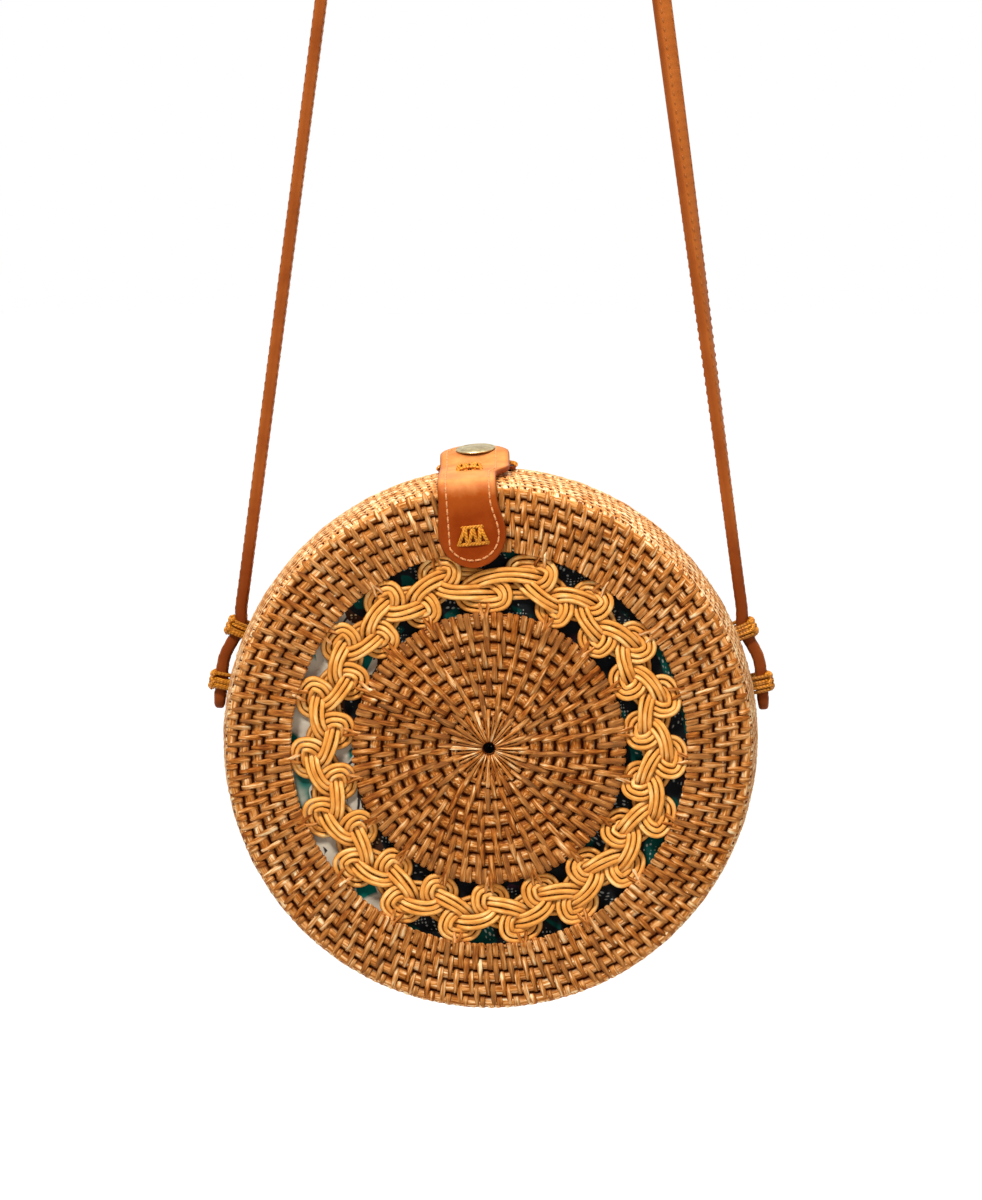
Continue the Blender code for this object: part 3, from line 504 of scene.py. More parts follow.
BAR_SECTION_SHARES = np.array([(-1, -1), (-0.97, 0.2), (-0.66, 0.8), (0, 1), (0.66, 0.8), (0.97, 0.2),
                               (1, -1)])
BAR_SHARES = np.array([0, 0.02, 0.06, 0.12, 0.20, 0.32, 0.44, 0.5, 0.56, 0.68, 0.80, 0.88, 0.94, 0.98, 1])
FINE_SECTION_SHARES = np.array([(-1, -1), (-0.9, 0.5), (0, 1), (0.9, 0.5), (1, -1)])
FINE_SHARES = np.array([0, 0.06, 0.2, 0.5, 0.8, 0.94, 1])
WRAP_SHARES = np.linspace(0, 1, 25)
ROW_SHARES = np.array([0, 0.02, 0.06, 0.12, 0.22, 0.36, 0.5, 0.64, 0.78, 0.88, 0.94, 0.98])

START_STRAY = (-0.0001, 0.0002)
END_STRAY = (-0.0002, 0.0001)
BEND_STRAY = 0.00014
LEVEL_STRAY = 0.0001
SLOPE_STRAY = 0.035
WIDTH_STRAY_SHARE = 0.1
FADE_STRAY_SHARE = 0.5
CROWN_HEIGHT = 0.0005
TAIL_DROP = 0.0009

# Coils and stitches of the shells
PITCH = 0.0048
BACK_PITCH = 0.00476
FACE_RELIEF = 0.0019
WALL_RELIEF = 0.0011
RIM_RELIEF = 0.0006
FACE_TONE = 0.63
WALL_TONE = 0.70
ROW_WAVER = (0.000096, 0.00008)
ROW_LAY = 0.08
RING_STITCHES = 94
STITCH_WIDTH = 0.0021
STITCH_HEIGHT = 0.0006
STITCH_STEP = 0.0025
STITCH_BOTTOM = -0.0013
STITCH_TUCK = 0.0001
STITCH_TAIL_SHARE = 0.26
LAST_REACH = 0.0004
LAST_BOTTOM = -0.0009
LEAN = math.radians(4.5)
CORNER_SETBACK = 0.0002
CORNER_ROW = 0.0052
INNER_WALL = wall_radius(HALF) - WALL
SHELL_SEGMENTS = 288
DISC_SEGMENTS = 240

# Stitches of the walls: two side by side for each hole between the rows
WALL_STITCHES = 192
WALL_STITCH_WIDTH = 0.0027
WALL_STITCH_HEIGHT = -0.0004
WALL_STITCH_BOTTOM = -0.0010
WALL_STITCH_REACH = 0.0004
WALL_STITCH_LEAN = 0.12
WALL_STEP_SHARE = 0.81

# Wraps round the ring's inner edge and the disc's rim
WRAP_START = 0.0006
WRAP_END_GAP = 0.0002
RING_WRAP_WIDTH = 0.0023
RIM_WRAP_WIDTH = 0.0024
RIM_WRAPS = 52
WRAP_HEIGHT = 0.0003
WRAP_ARCH = 7

# Middle of a disc: long stitches from the hole over the first rows
START_ROWS = (0.0, 0.0026, 0.0052, 0.0090)
START_RELIEF = [0.0008, 0.0009, 0.001]
STARTER_RADIUS = 0.0148
STARTER_SETBACK = 0.0004
STARTER_INNER = 0.0023
STARTERS = 20
SECOND_INNER = 0.0092
SECOND_OUTER = 0.0190
SECOND_STITCHES = 18
DISC_HOLE = 0.0022
BACK_HOLE = 0.0014
DISC_STITCH_PITCH = 0.0057
RIM_SETBACK = 0.0008
RIM_INSET = 0.0006


def bars(piece, outline, start, end, count, offset, width, height, lean=LEAN, tone=0.4, spread=0.11,
         bottom=STITCH_BOTTOM, dip=0.0001, jitter=0.06, faded=0.5, shares=BAR_SHARES,
         section=BAR_SECTION_SHARES, taper=1.0, arch=3.2, tail=0.0):
    """A ring of stitches across the coil from one distance to another. Each arches over
    its rows and dives into the gaps at its blunt ends. A tail makes the outer half slim and low."""
    turn = (np.arange(count) + noise.uniform(-jitter, jitter, count)) * TAU / count + offset
    first = start + noise.uniform(*START_STRAY, count)
    last = end + noise.uniform(*END_STRAY, count)
    travel = first[:, None] + (last - first)[:, None] * shares
    slope = math.tan(lean) + noise.uniform(-SLOPE_STRAY, SLOPE_STRAY, count)
    swing = -(travel - (start + end) / 2) * slope[:, None] / outline.radius(travel)
    bend = noise.uniform(-BEND_STRAY, BEND_STRAY, count)[:, None] * np.sin(math.pi * shares)
    angle = turn[:, None] + swing + bend / outline.radius(travel)
    crown = 1 - np.abs(2 * shares - 1) ** arch
    slim = tail * smooth((shares - 0.42) / 0.3)
    rise = bottom + (height - bottom) * crown - dip * np.exp(-((shares - 0.5) / 0.1) ** 2)
    rise = rise - TAIL_DROP * slim + noise.uniform(-LEVEL_STRAY, LEVEL_STRAY, count)[:, None]
    body = 1 - 0.2 * (np.exp(-shares / 0.02) + np.exp(-(1 - shares) / 0.02))
    wide = width * body * (taper + (1 - taper) * shares) * (1 - slim)
    wide = wide * (1 + noise.uniform(-WIDTH_STRAY_SHARE, WIDTH_STRAY_SHARE, count))[:, None]
    side = section[:, 0] * wide[..., None] / 2
    lift = rise[..., None] + section[:, 1] * CROWN_HEIGHT
    where = travel[..., None] + 0 * lift
    points = outline.place(where, angle[..., None] + side / outline.radius(where), lift)
    lay = np.stack([where, side, 0 * where + noise.uniform(0, 1, count)[:, None, None]], -1)
    shade = np.zeros(points.shape)
    tones = tone + noise.uniform(-spread, spread, count)[:, None, None]
    # Painted light: the tone is raised into a painted highlight along each stitch's top, most near its start,
    # and lowered into painted shade on its lower sides
    painted_light = 0.12 * np.exp(-((shares - 0.2) / 0.12) ** 2)[:, None] + 0.18 * section[:, 1] - 0.11
    # How clear of the gaps a point is sets its painted shade: dark where the stitch dives into the gaps and
    # on its lower sides
    clear = smooth((crown + 0.12) / 0.5)[..., None]
    shade[..., 0] = tones + painted_light
    shade[..., 1] = np.clip(clear * np.interp(section[:, 1], (-1, 0.1, 0.7), (0.1, 0.65, 1)), 0, 1)
    fade = faded + noise.uniform(-FADE_STRAY_SHARE, FADE_STRAY_SHARE, count)
    shade[..., 2] = np.clip(fade, 0, 1)[:, None, None]
    piece.grid(points, lay, shade)


def families(piece, outline, edges, counts, tone, closed=False, **values):
    """Rings of stitches that each span two rows. Every ring starts a row further out than
    the one before and lies beside its stitches, a step further round. A closed set ends
    with a ring of short ones that only span the last row."""
    offset = 0.0
    values = dict(tone=tone, tail=STITCH_TAIL_SHARE, **values)
    for index, count in enumerate(counts):
        offset -= STITCH_STEP / float(outline.radius(edges[index + 1]))
        level = STITCH_HEIGHT if index + 3 < len(edges) or not closed else 0.0
        bars(piece, outline, edges[index] + STITCH_TUCK, edges[index + 2] - STITCH_TUCK, count, offset,
             STITCH_WIDTH, level, **values)
    if closed:
        offset -= STITCH_STEP / float(outline.radius(edges[-1]))
        bars(piece, outline, edges[-2] + STITCH_TUCK, edges[-1] + LAST_REACH, counts[-1], offset,
             STITCH_WIDTH, 0.0, bottom=LAST_BOTTOM, **values)
    return offset


def wraps(piece, outline, start, end, count, offset, width, tone, **values):
    """Stitches laid round an edge, with many stations to follow it."""
    bars(piece, outline, start, end, count, offset, width, WRAP_HEIGHT, tone=tone, shares=WRAP_SHARES,
         arch=WRAP_ARCH, **values)


def rows(piece, outline, edges, segments, relief, tone=FACE_TONE, after=()):
    """The coil's rows as one closed skin: ridges on the outside and a plain inside."""
    hump = np.maximum(np.sin(math.pi * ROW_SHARES), 0) ** 0.75
    grooves = [relief[0], *np.minimum(relief[:-1], relief[1:]), relief[-1]]
    travel, lifts, clear, tones = [], [], [], []
    for start, end, deep, before, behind in zip(edges, edges[1:], relief, grooves, grooves[1:]):
        wall = deep == WALL_RELIEF
        travel += list(start + (end - start) * ROW_SHARES)
        lifts += list((before + (behind - before) * ROW_SHARES) * (hump - 1))
        # How clear of the gaps each row is sets its painted shade: on the face it lies in the gaps between
        # the rows, on the wall it reaches over most of each row, for the slits between its stitches
        clear += list(smooth((hump - 0.76) / 0.16) if wall else smooth((hump - 0.32) / 0.52))
        tones += [WALL_TONE if wall else tone] * len(hump)
    travel = np.array([*travel, edges[-1]])
    lifts = np.array([*lifts, -relief[-1]])
    turn = np.arange(segments)[:, None] * TAU / segments
    waver = ROW_WAVER[0] * np.sin(turn * 37 + 1.3) + ROW_WAVER[1] * np.sin(turn * 61)
    ridge = outline.place(travel[None], turn, lifts[None] + waver)
    inside = [around(radius, turn, outline.half * (HALF - depth)) for radius, depth in after]
    points = np.concatenate([ridge, *inside], axis=1)
    extra = len(after)
    lay = np.zeros(points.shape)
    lay[..., 0] = turn * ROW_LAY
    lay[..., 1] = np.concatenate([travel, np.full(extra, travel[-1] + 0.002)])
    lay[..., 2] = 0.3
    shade = np.zeros(points.shape)
    shade[..., 0] = np.concatenate([tones, np.full(extra + 1, tone)])
    # The point at the last edge is fully in painted shade and the skin's inside partly
    shade[..., 1] = np.concatenate([clear, [0], np.full(extra, 0.6)])
    piece.grid(points[None], lay[None], shade[None], loop=True)


def finish_weave(piece, body, *nodes):
    piece.finish(CANE, "coiled_cane", nodes, body)


def wall_stitches(name, body, outline, edges):
    """Wide short stitches across each gap of the wall, which leave small holes between them, darkened with
    painted shade.
    """
    piece = Piece(name)
    for index in range(1, len(edges) - 1):
        start = (edges[index - 1] + edges[index]) / 2 - WALL_STITCH_REACH
        end = (edges[index] + edges[index + 1]) / 2 + WALL_STITCH_REACH
        bars(piece, outline, start, end, WALL_STITCHES, index * WALL_STEP_SHARE * TAU / WALL_STITCHES,
             WALL_STITCH_WIDTH, WALL_STITCH_HEIGHT, WALL_STITCH_LEAN, WALL_TONE, spread=0.09,
             bottom=WALL_STITCH_BOTTOM, dip=0.0, faded=0.1, jitter=0.07, shares=FINE_SHARES,
             section=FINE_SECTION_SHARES, arch=2)
    finish_weave(piece, body)


def wall_edges(outline):
    """Edges of the wall's rows, of equal width, from the corner to the seam."""
    start = outline.at_radius(FLAT - CORNER_SETBACK) + CORNER_ROW
    count = max(round((outline.travel[-1] - start) / PITCH), 1)
    return np.linspace(start, outline.travel[-1], count + 1)


def shell_tail(radius):
    """Back of the coil, from the seam down the inside of the wall to a radius."""
    return ((INNER_WALL, HALF - SEAM_SETBACK), (INNER_WALL - 0.001, 0.024),
            (INNER_WALL - BULGE, 0.009), (INNER_WALL - BULGE, WALL), (radius, WALL))


def make_front_ring():
    inner = edge_points(RING_IN, -1)[::-1]
    outline = Outline(np.concatenate([inner[:-1], flat_points(RING_IN, FLAT), outer_points()]), -1)
    face = [outline.at_radius(RING_IN + step * PITCH) for step in range(1, 5)]
    wall = wall_edges(outline)
    edges = np.array([WRAP_START, outline.at_radius(RING_IN + WRAP_START), *face, *wall])
    relief = [START_RELIEF[0]] + [FACE_RELIEF] * 5 + [WALL_RELIEF] * (len(wall) - 1)
    coils = Piece("front_ring_coils")
    rows(coils, outline, edges, SHELL_SEGMENTS, relief, after=shell_tail(RING_IN + 0.001))
    finish_weave(coils, "lid", "front_ring_shell")
    piece = Piece("front_ring_stitches")
    for end, shift, tone in ((face[0], 0.5, 0.5), (face[1], 0.0, 0.42)):
        wraps(piece, outline, WRAP_START, end - WRAP_END_GAP, RING_STITCHES, shift * TAU / RING_STITCHES,
              RING_WRAP_WIDTH, tone, jitter=0.05)
    families(piece, outline, [*face, wall[0]], [RING_STITCHES] * 3, 0.44, closed=True, spread=0.14)
    finish_weave(piece, "lid")
    wall_stitches("front_wall_stitches", "lid", outline, [face[-1], *wall])


def starter(piece, outline):
    """Long stitches from the hole over the first rows of a disc, and a ring between them and the next."""
    inner = outline.at_radius(STARTER_INNER)
    outer = outline.at_radius(STARTER_RADIUS)
    for shift, width, reach, height, tone in ((0.0, 0.0017, 0.0, 0.0006, 0.58),
                                              (0.5, 0.0012, -0.0022, 0.0002, 0.40)):
        bars(piece, outline, inner, outer + reach, STARTERS, shift * TAU / STARTERS, width, height, 0.0, tone,
             spread=0.15, dip=0.0, jitter=0.10, faded=0.3, taper=0.3, arch=9)
    bars(piece, outline, outline.at_radius(SECOND_INNER), outline.at_radius(SECOND_OUTER), SECOND_STITCHES,
         0.25, 0.0019, 0.0003, tone=0.34)


def disc_counts(radii):
    """Stitches in each ring, for the radii of the rows that they span."""
    return [min(round(TAU * radius / DISC_STITCH_PITCH), RING_STITCHES) for radius in radii]


def make_centre_disc():
    line = np.concatenate([flat_points(DISC_HOLE, DISC_OUT - 0.00095), edge_points(DISC_OUT, 1)])
    outline = Outline(line, -1)
    radii = np.linspace(STARTER_RADIUS - STARTER_SETBACK, DISC_OUT - RIM_INSET, 8)
    marks = [outline.at_radius(radius) for radius in radii]
    last = outline.travel[-1] - RIM_SETBACK
    edges = np.array([*START_ROWS, *marks[:-1], outline.at_radius(DISC_OUT - 0.0011) + 0.0016, last])
    relief = START_RELIEF + [FACE_RELIEF] * (len(edges) - 5) + [RIM_RELIEF]
    coils = Piece("centre_disc_coils")
    rows(coils, outline, edges, DISC_SEGMENTS, relief, tone=0.54,
         after=((DISC_OUT - 0.0018, WALL), (DISC_HOLE + 0.0002, WALL), (DISC_HOLE, WALL - 0.001)))
    finish_weave(coils, "lid", "centre_disc")
    piece = Piece("centre_disc_stitches")
    starter(piece, outline)
    offset = families(piece, outline, marks, disc_counts(radii[1:-2]), 0.31, spread=0.15)
    for mark in marks[-3:-1]:
        offset -= STITCH_STEP / float(outline.radius(mark))
        wraps(piece, outline, mark + STITCH_TUCK, last, RIM_WRAPS, offset, RIM_WRAP_WIDTH, 0.33)
    finish_weave(piece, "lid")


def make_back():
    outline = Outline(np.concatenate([flat_points(BACK_HOLE, FLAT), outer_points()]), 1)
    radii = [STARTER_RADIUS - STARTER_SETBACK + step * BACK_PITCH for step in range(17)]
    face = [outline.at_radius(radius) for radius in radii]
    wall = wall_edges(outline)
    edges = np.array([*START_ROWS, *face, *wall])
    relief = START_RELIEF + [FACE_RELIEF] * len(radii) + [WALL_RELIEF] * (len(wall) - 1)
    coils = Piece("back_coils")
    rows(coils, outline, edges, SHELL_SEGMENTS, relief, after=shell_tail(BACK_HOLE))
    finish_weave(coils, "back", "back_shell")
    piece = Piece("back_face_stitches")
    starter(piece, outline)
    families(piece, outline, [*face, wall[0]], disc_counts(radii[1:]), 0.44, closed=True, spread=0.14,
             shares=BAR_SHARES[::2])
    finish_weave(piece, "back")
    wall_stitches("back_wall_stitches", "back", outline, [face[-1], *wall])


# Braid: two strands that loop round each other. One loop is drawn in shares of the loop
# pitch, of the reach to both sides and of the lift over the other strand.

LOOP_SHARES = np.array([
    (-0.55, 0.43, -0.45), (-0.40, 0.41, -1.00), (-0.25, 0.34, -1.00), (-0.10, 0.17, -0.75),
    (0.03, -0.10, 0.15), (0.10, -0.34, 0.80), (0.12, -0.62, 0.90), (0.09, -0.86, 0.70),
    (-0.02, -1.00, 0.25), (-0.17, -1.00, -0.25), (-0.29, -0.86, -0.70), (-0.34, -0.62, -1.00),
    (-0.31, -0.38, -1.00), (-0.23, -0.14, -0.45), (-0.13, 0.08, 0.70), (0.00, 0.24, 1.00),
    (0.15, 0.35, 1.00), (0.30, 0.41, 0.65),
])
LOOPS = 18
BRAID_RADIUS = (RING_IN + DISC_OUT) / 2
JOIN_STRETCH = 0.0128 / BRAID_RADIUS
LOOP_PITCH = (TAU - JOIN_STRETCH) / LOOPS
BRAID_START = math.radians(17.35)
BRAID_REACH = 0.0090
BRAID_LIFT = 0.00155
CANE_RADIUS = 0.00097
CANE_GAP = 0.00002
CANE_SWAY = (0.00016, 0.0001)
CANE_RISE = 0.00018
OUTER_CANE_DROP = 0.00025

# Stitches at the loops' tips: routes from the edge and past the tip, as rows of
# (distance towards the braid, depth, share of the drift)
LASHING_SECTION = circle(6, 0.00065, 0.00042)
LASHING_EDGE_ROUTE = ((-0.0026, 0.0012, 0), (-0.0022, 0.0, 0), (-0.0008, -0.0004, 0), (0.0010, 0.0003, 0.3))
LASHING_TIP_ROUTE = ((-0.0006, 0.0006, 0.6), (0.0006, 0.0010, 0.8), (0.0009, 0.0022, 1))
LASHING_DRIFT = 0.0012 / BRAID_RADIUS
LASHING_SPLIT = 0.0085
LASHING_STRAY = 0.008


def braid_angle(turns):
    """Angle of a place counted in loops, with the stretch where the strand's ends join."""
    whole = np.floor(turns / LOOPS)
    rest = turns - whole * LOOPS
    share = np.clip(rest - (LOOPS - 1), 0, 1)
    return whole * TAU + rest * LOOP_PITCH + JOIN_STRETCH * smooth(share) + BRAID_START


def make_strand(name, node, first_loop, side):
    """Three canes side by side along one endless path of loops."""
    shares = np.concatenate([LOOP_SHARES + (loop, 0, 0) for loop in range(LOOPS)])
    path = catmull(shares, 4, advance=(LOOPS, 0, 0))
    points = around(BRAID_RADIUS + side * path[:, 1] * BRAID_REACH, braid_angle(path[:, 0] + first_loop),
                    -HALF + WALL / 2 - path[:, 2] * BRAID_LIFT)
    along = tangents(points, True)
    across = unit(np.cross(along, -BACK))
    up = np.cross(across, along)
    piece = Piece(name)
    section = circle(8, CANE_RADIUS, CANE_RADIUS)
    round_share = section / CANE_RADIUS
    turn = np.arange(len(points)) * TAU / len(points)
    for lane in (-1, 0, 1):
        shift = lane * (2 * CANE_RADIUS + CANE_GAP) + CANE_SWAY[0] * np.sin(turn * (23 + 7 * lane) + lane)
        shift = shift + CANE_SWAY[1] * np.sin(turn * 71 + 2 * lane)
        rise = CANE_RISE * np.sin(turn * (31 + 5 * lane) + 2 * lane) - OUTER_CANE_DROP * abs(lane)
        tone = np.zeros((len(section), 3))
        # Painted light: each cane is lighter on its top and darker underneath, and painted shade darkens its
        # lower sides where it meets the canes beside it
        tone[:, 0] = 0.40 + 0.05 * lane + 0.32 * round_share[:, 1]
        tone[:, 1] = np.clip(1.1 - 0.95 * np.abs(round_share[:, 0]) * (section[:, 1] < 0.0005), 0.2, 1)
        centres = points + across * shift[:, None] + up * rise[:, None]
        piece.tube(centres, -BACK, section, loop=True, tone=tone, seed=0.2 * lane + 0.5)
    piece.finish(BRAID, "braid_cane", [node], "lid")


def make_lashings():
    """Pairs of cane stitches that tie each loop's tip to the ring or to the disc."""
    piece = Piece("braid_lashings")
    for first, side, edge in ((0.5, 1, DISC_OUT), (0.0, -1, RING_IN)):
        tip = BRAID_RADIUS - side * BRAID_REACH
        for loop in range(LOOPS):
            for split in (-1, 1):
                turn = float(braid_angle(np.array(first + loop - 0.1))) + split * LASHING_SPLIT
                turn += noise.uniform(-LASHING_STRAY, LASHING_STRAY)
                line = [around(start + side * reach, turn + LASHING_DRIFT * split * share, depth - HALF)
                        for start, route in ((edge, LASHING_EDGE_ROUTE), (tip, LASHING_TIP_ROUTE))
                        for reach, depth, share in route]
                piece.tube(catmull(line, 3), np.array((0.0, -1.0, 0.001)), LASHING_SECTION,
                           tone=(0.5 + noise.uniform(-0.15, 0.15), 0.95, 0), seed=noise.uniform(0, 1))
    piece.finish(CANE, "coiled_cane", [], "lid")


# Lining, as rows of (radius, rise from the face)

LINING_CLOTH = 0.0006
LINING_SETBACK = 0.0004
LINING_DEPTH = WALL + GAP
LINING_PROFILE = [(0.0005, 0), (0.02, 0), (0.04, 0), (0.052, 0), (0.064, 0), (0.076, 0), (0.086, 0),
                  (0.0905, 0.0008), (0.0922, 0.003), (0.0926, 0.010), (0.0932, 0.018), (0.0938, 0.026),
                  (0.0942, HALF - LINING_DEPTH - 0.0012)]
LINING_FLOOR = 0.004
LINING_RIPPLES = (0.00022, 0.00016)


def make_lining(node, half, body):
    """Cloth bowl glued inside a half, a little puckered."""
    turn = np.arange(160) * TAU / 160
    rings = []
    for thick in (0.0, LINING_CLOTH):
        side = []
        for index, (radius, rise) in enumerate(LINING_PROFILE):
            ripple = (LINING_RIPPLES[0] * np.sin(turn * (19 + 5 * index) + index)
                      + LINING_RIPPLES[1] * np.sin(turn * 47 + 2 * index))
            ripple = ripple * (0 < index < len(LINING_PROFILE) - 1)
            inset = LINING_DEPTH + rise + LINING_SETBACK + thick * (rise < LINING_FLOOR)
            if rise > 0:
                side.append(around(radius - thick - ripple - GAP, turn, half * (HALF - inset)))
            else:
                side.append(around(radius, turn, half * (HALF - inset - ripple)))
        rings += side if thick == 0 else side[::-1]
    piece = Piece(node + "_cloth")
    piece.grid(np.array(rings).transpose(1, 0, 2)[None], np.zeros(3), np.array((0.5, 1.0, 0.0)), loop=True)
    obj = piece.finish(LINING, "lining", [node], body)


# Leather tab, drawn with X across, Y to the back and Z away from the bag's axis

TAB_TURN = math.radians(-4.2)
TAB_THICK = 0.0023
TAB_LIFT = 0.0006
TAB_FACE_RADII = (0.0675, 0.072, 0.077, 0.082, 0.087, 0.0915)
TAB_WALL_DEPTHS = (0.0085, 0.0135, 0.019, 0.024)
TAB_FLAP_STEPS = (0.0, 0.0032, 0.0064, 0.0095)
TAB_EDGE = 0.0012
TAB_EDGE_SHARE = 0.86
FLEX = -0.0082
FLEX_HALF_LENGTH = 0.004
FLAP_TILT = math.radians(8)

# Half width of the tab at its lobe, its waist and its free end, for each side
TAB_WIDTHS = {-1: (0.0127, 0.0118, 0.0114), 1: (0.0123, 0.0099, 0.0146)}
TAB_WIDENING = 0.013
TAB_FAR_WIDENING = 0.040

# Stations at the tab's ends, and the tab's section as (share of the half width, share of
# the thickness, how much of the edge's colour)
TAB_END_MARKS = [0.00002, 0.0002, 0.0006, 0.0012, 0.002, 0.0032, 0.0048, 0.0066, 0.009, 0.0115]
TAB_MIDDLE_START = 0.0135
TAB_SECTION_SHARES = np.array([
    (-1, 0.0, 1), (-0.985, 0.32, 1), (-0.94, 0.46, 0.4), (-0.86, 0.5, 0), (-0.5, 0.5, 0), (0, 0.5, 0),
    (0.5, 0.5, 0), (0.86, 0.5, 0), (0.94, 0.46, 0.4), (0.985, 0.32, 1), (1, 0.0, 1), (0.985, -0.32, 1),
    (0.94, -0.46, 0.5), (0.5, -0.5, 0), (-0.5, -0.5, 0), (-0.94, -0.46, 0.5), (-0.985, -0.32, 1)])
# Painted light along the tab: painted shade on the face and a painted highlight where it bends over the
# corner and on the flap
TAB_PAINTED_LIGHT_MARKS = (0.0, 0.006, 0.019, 0.026, 0.031, 0.045)
TAB_PAINTED_LIGHT = (0.30, 0.16, 0.18, 0.42, 0.92, 0.80, 0.74)

TAB_STITCH_INSET = 0.0027
TAB_STITCH_PITCH = 0.0028
TAB_STITCH_GAP = (0.0001, 0.0003)
TAB_STITCH_LIFTS = np.array([-0.0003, 0.00008, 0.00016, 0.00016, 0.00008, -0.0003])
TAB_STITCH_SECTION = circle(6, 0.00034, 0.00026)

# Lashings: place along the tab, width at the foot and the head, height, and stand above the leather
TAB_LASHINGS = {"tab_lashing_lower": (0.0120, 0.0116, 0.0080, 0.0068, 0.0),
                "tab_lashing_upper": (0.0492, 0.0094, 0.0080, 0.0064, 0.0009)}
TAB_LASHING_LEGS = 3
TAB_LASHING_SECTION = circle(7, 0.00066, 0.00056)

# Snap: its place, and the patch, stud and socket under its cap with a gap at each, from the CAD
SNAP_BACK = 0.0060
SNAP_SIDE = 0.0020
PATCH_THICK = 0.0011
STUD_HEIGHT = 0.0011
SOCKET_HEIGHT = 0.0016
SNAP_SEAT = RADIUS + 3 * GAP + PATCH_THICK + STUD_HEIGHT + SOCKET_HEIGHT
CAP_SEAT = TAB_THICK + 0.0001
CAP_PROFILE = [(0.00003, -0.001), (0.0015, -0.001), (0.0015, CAP_SEAT), (0.0066, CAP_SEAT),
               (0.0073, CAP_SEAT + 0.0002), (0.00745, CAP_SEAT + 0.0005), (0.0072, CAP_SEAT + 0.0008),
               (0.0066, CAP_SEAT + 0.00085), (0.0061, CAP_SEAT + 0.00065), (0.0055, CAP_SEAT + 0.00085),
               (0.0040, CAP_SEAT + 0.0011), (0.0020, CAP_SEAT + 0.00125), (0.00003, CAP_SEAT + 0.0013)]

TAB_BEND = {"start": (0, float(BAG[1] + FLEX) - FLEX_HALF_LENGTH, -0.5),
            "end": (0, float(BAG[1] + FLEX) + FLEX_HALF_LENGTH, -0.5)}


def tab_turned(vectors):
    """Directions from the tab's frame to the row's frame."""
    vectors = np.asarray(vectors, float)
    x = vectors[..., 0] * math.cos(TAB_TURN) + vectors[..., 2] * math.sin(TAB_TURN)
    z = vectors[..., 2] * math.cos(TAB_TURN) - vectors[..., 0] * math.sin(TAB_TURN)
    return np.stack([x, vectors[..., 1], z], -1)


def tab_world(points):
    """Points from the tab's frame to the row's frame."""
    return BAG + tab_turned(points)


def tab_path():
    """Underside of the whole tab, from the end on the face to the free end."""
    line = [(-HALF - TAB_LIFT, radius) for radius in TAB_FACE_RADII]
    for share in (0.15, 0.4, 0.65, 0.9):
        turn = share * math.pi / 2
        reach = CORNER + TAB_LIFT
        line.append((CORNER - HALF - reach * math.cos(turn), FLAT + reach * math.sin(turn)))
    line += [(depth - HALF, wall_radius(depth) + TAB_LIFT) for depth in TAB_WALL_DEPTHS]
    line.append((FLEX - 0.001, wall_radius(0.0285) + TAB_LIFT))
    start = wall_radius(0.029) + TAB_LIFT
    for share in (0.2, 0.4, 0.6, 0.8):
        line.append((FLEX + (SNAP_BACK - FLEX) * share,
                     start + (SNAP_SEAT - start) * smooth(share) + 0.0002 * share))
    line += [(SNAP_BACK + back, SNAP_SEAT + back * math.tan(FLAP_TILT)) for back in TAB_FLAP_STEPS]
    return catmull([(0.0, y, z) for y, z in line], 4)


def tab_half_width(travel, length, side):
    """Half the width along the tab: a lobe, a waist and a wider round end."""
    lower, waist, upper = TAB_WIDTHS[side]
    near = lower + (waist - lower) * smooth((travel - lower) / TAB_WIDENING)
    far = waist + (upper - waist) * smooth((travel - TAB_FAR_WIDENING) / TAB_WIDENING)
    width = np.where(travel < length / 2, near, far)
    for radius, away in ((lower, travel), (upper, length - travel)):
        round_end = np.sqrt(np.maximum(radius ** 2 - np.maximum(radius - away, 0) ** 2, 1e-9))
        width = np.where(away < radius, np.minimum(width, round_end), width)
    return width


def make_tab(path):
    """The leather itself, from the lobe on the face to the free end of the flap."""
    travel = travelled(path)
    length = travel[-1]
    marks = np.array([*TAB_END_MARKS, *np.linspace(TAB_MIDDLE_START, length - TAB_MIDDLE_START, 56),
                      *[length - mark for mark in reversed(TAB_END_MARKS)]])
    centres = sample(marks, travel, path)
    up = np.cross(ACROSS, tangents(centres))
    wide, thick, edging = TAB_SECTION_SHARES.T
    left, right = (tab_half_width(marks, length, side)[:, None] for side in (-1, 1))
    half = np.where(wide < 0, left, right)
    # Near the edge the section keeps its own width, so that the rounding doesn't grow with the tab
    beyond = (np.abs(wide) - TAB_EDGE_SHARE) / (1 - TAB_EDGE_SHARE)
    edge = np.maximum(half - TAB_EDGE, 0) + beyond * TAB_EDGE
    side = np.where(np.abs(wide) > TAB_EDGE_SHARE, np.sign(wide) * np.minimum(edge, half), wide * half)
    lift = (thick + 0.5) * TAB_THICK
    points = centres[:, None] + ACROSS * side[..., None] + up[:, None] * lift[:, None]
    tone = np.ones(points.shape)
    # Painted light along the tab: painted shade on the face, a painted highlight over the bend and on the
    # flap
    tone[..., 0] = np.interp(marks, (*TAB_PAINTED_LIGHT_MARKS, length), TAB_PAINTED_LIGHT)[:, None]
    tone[..., 2] = edging
    piece = Piece("leather_tab")
    piece.grid(tab_world(points)[None], np.zeros(3), tone[None])
    piece.finish(LEATHER, "leather", ["tab_base", "tab_flap"], "lid", "flap", smooth_deg=60, **TAB_BEND)


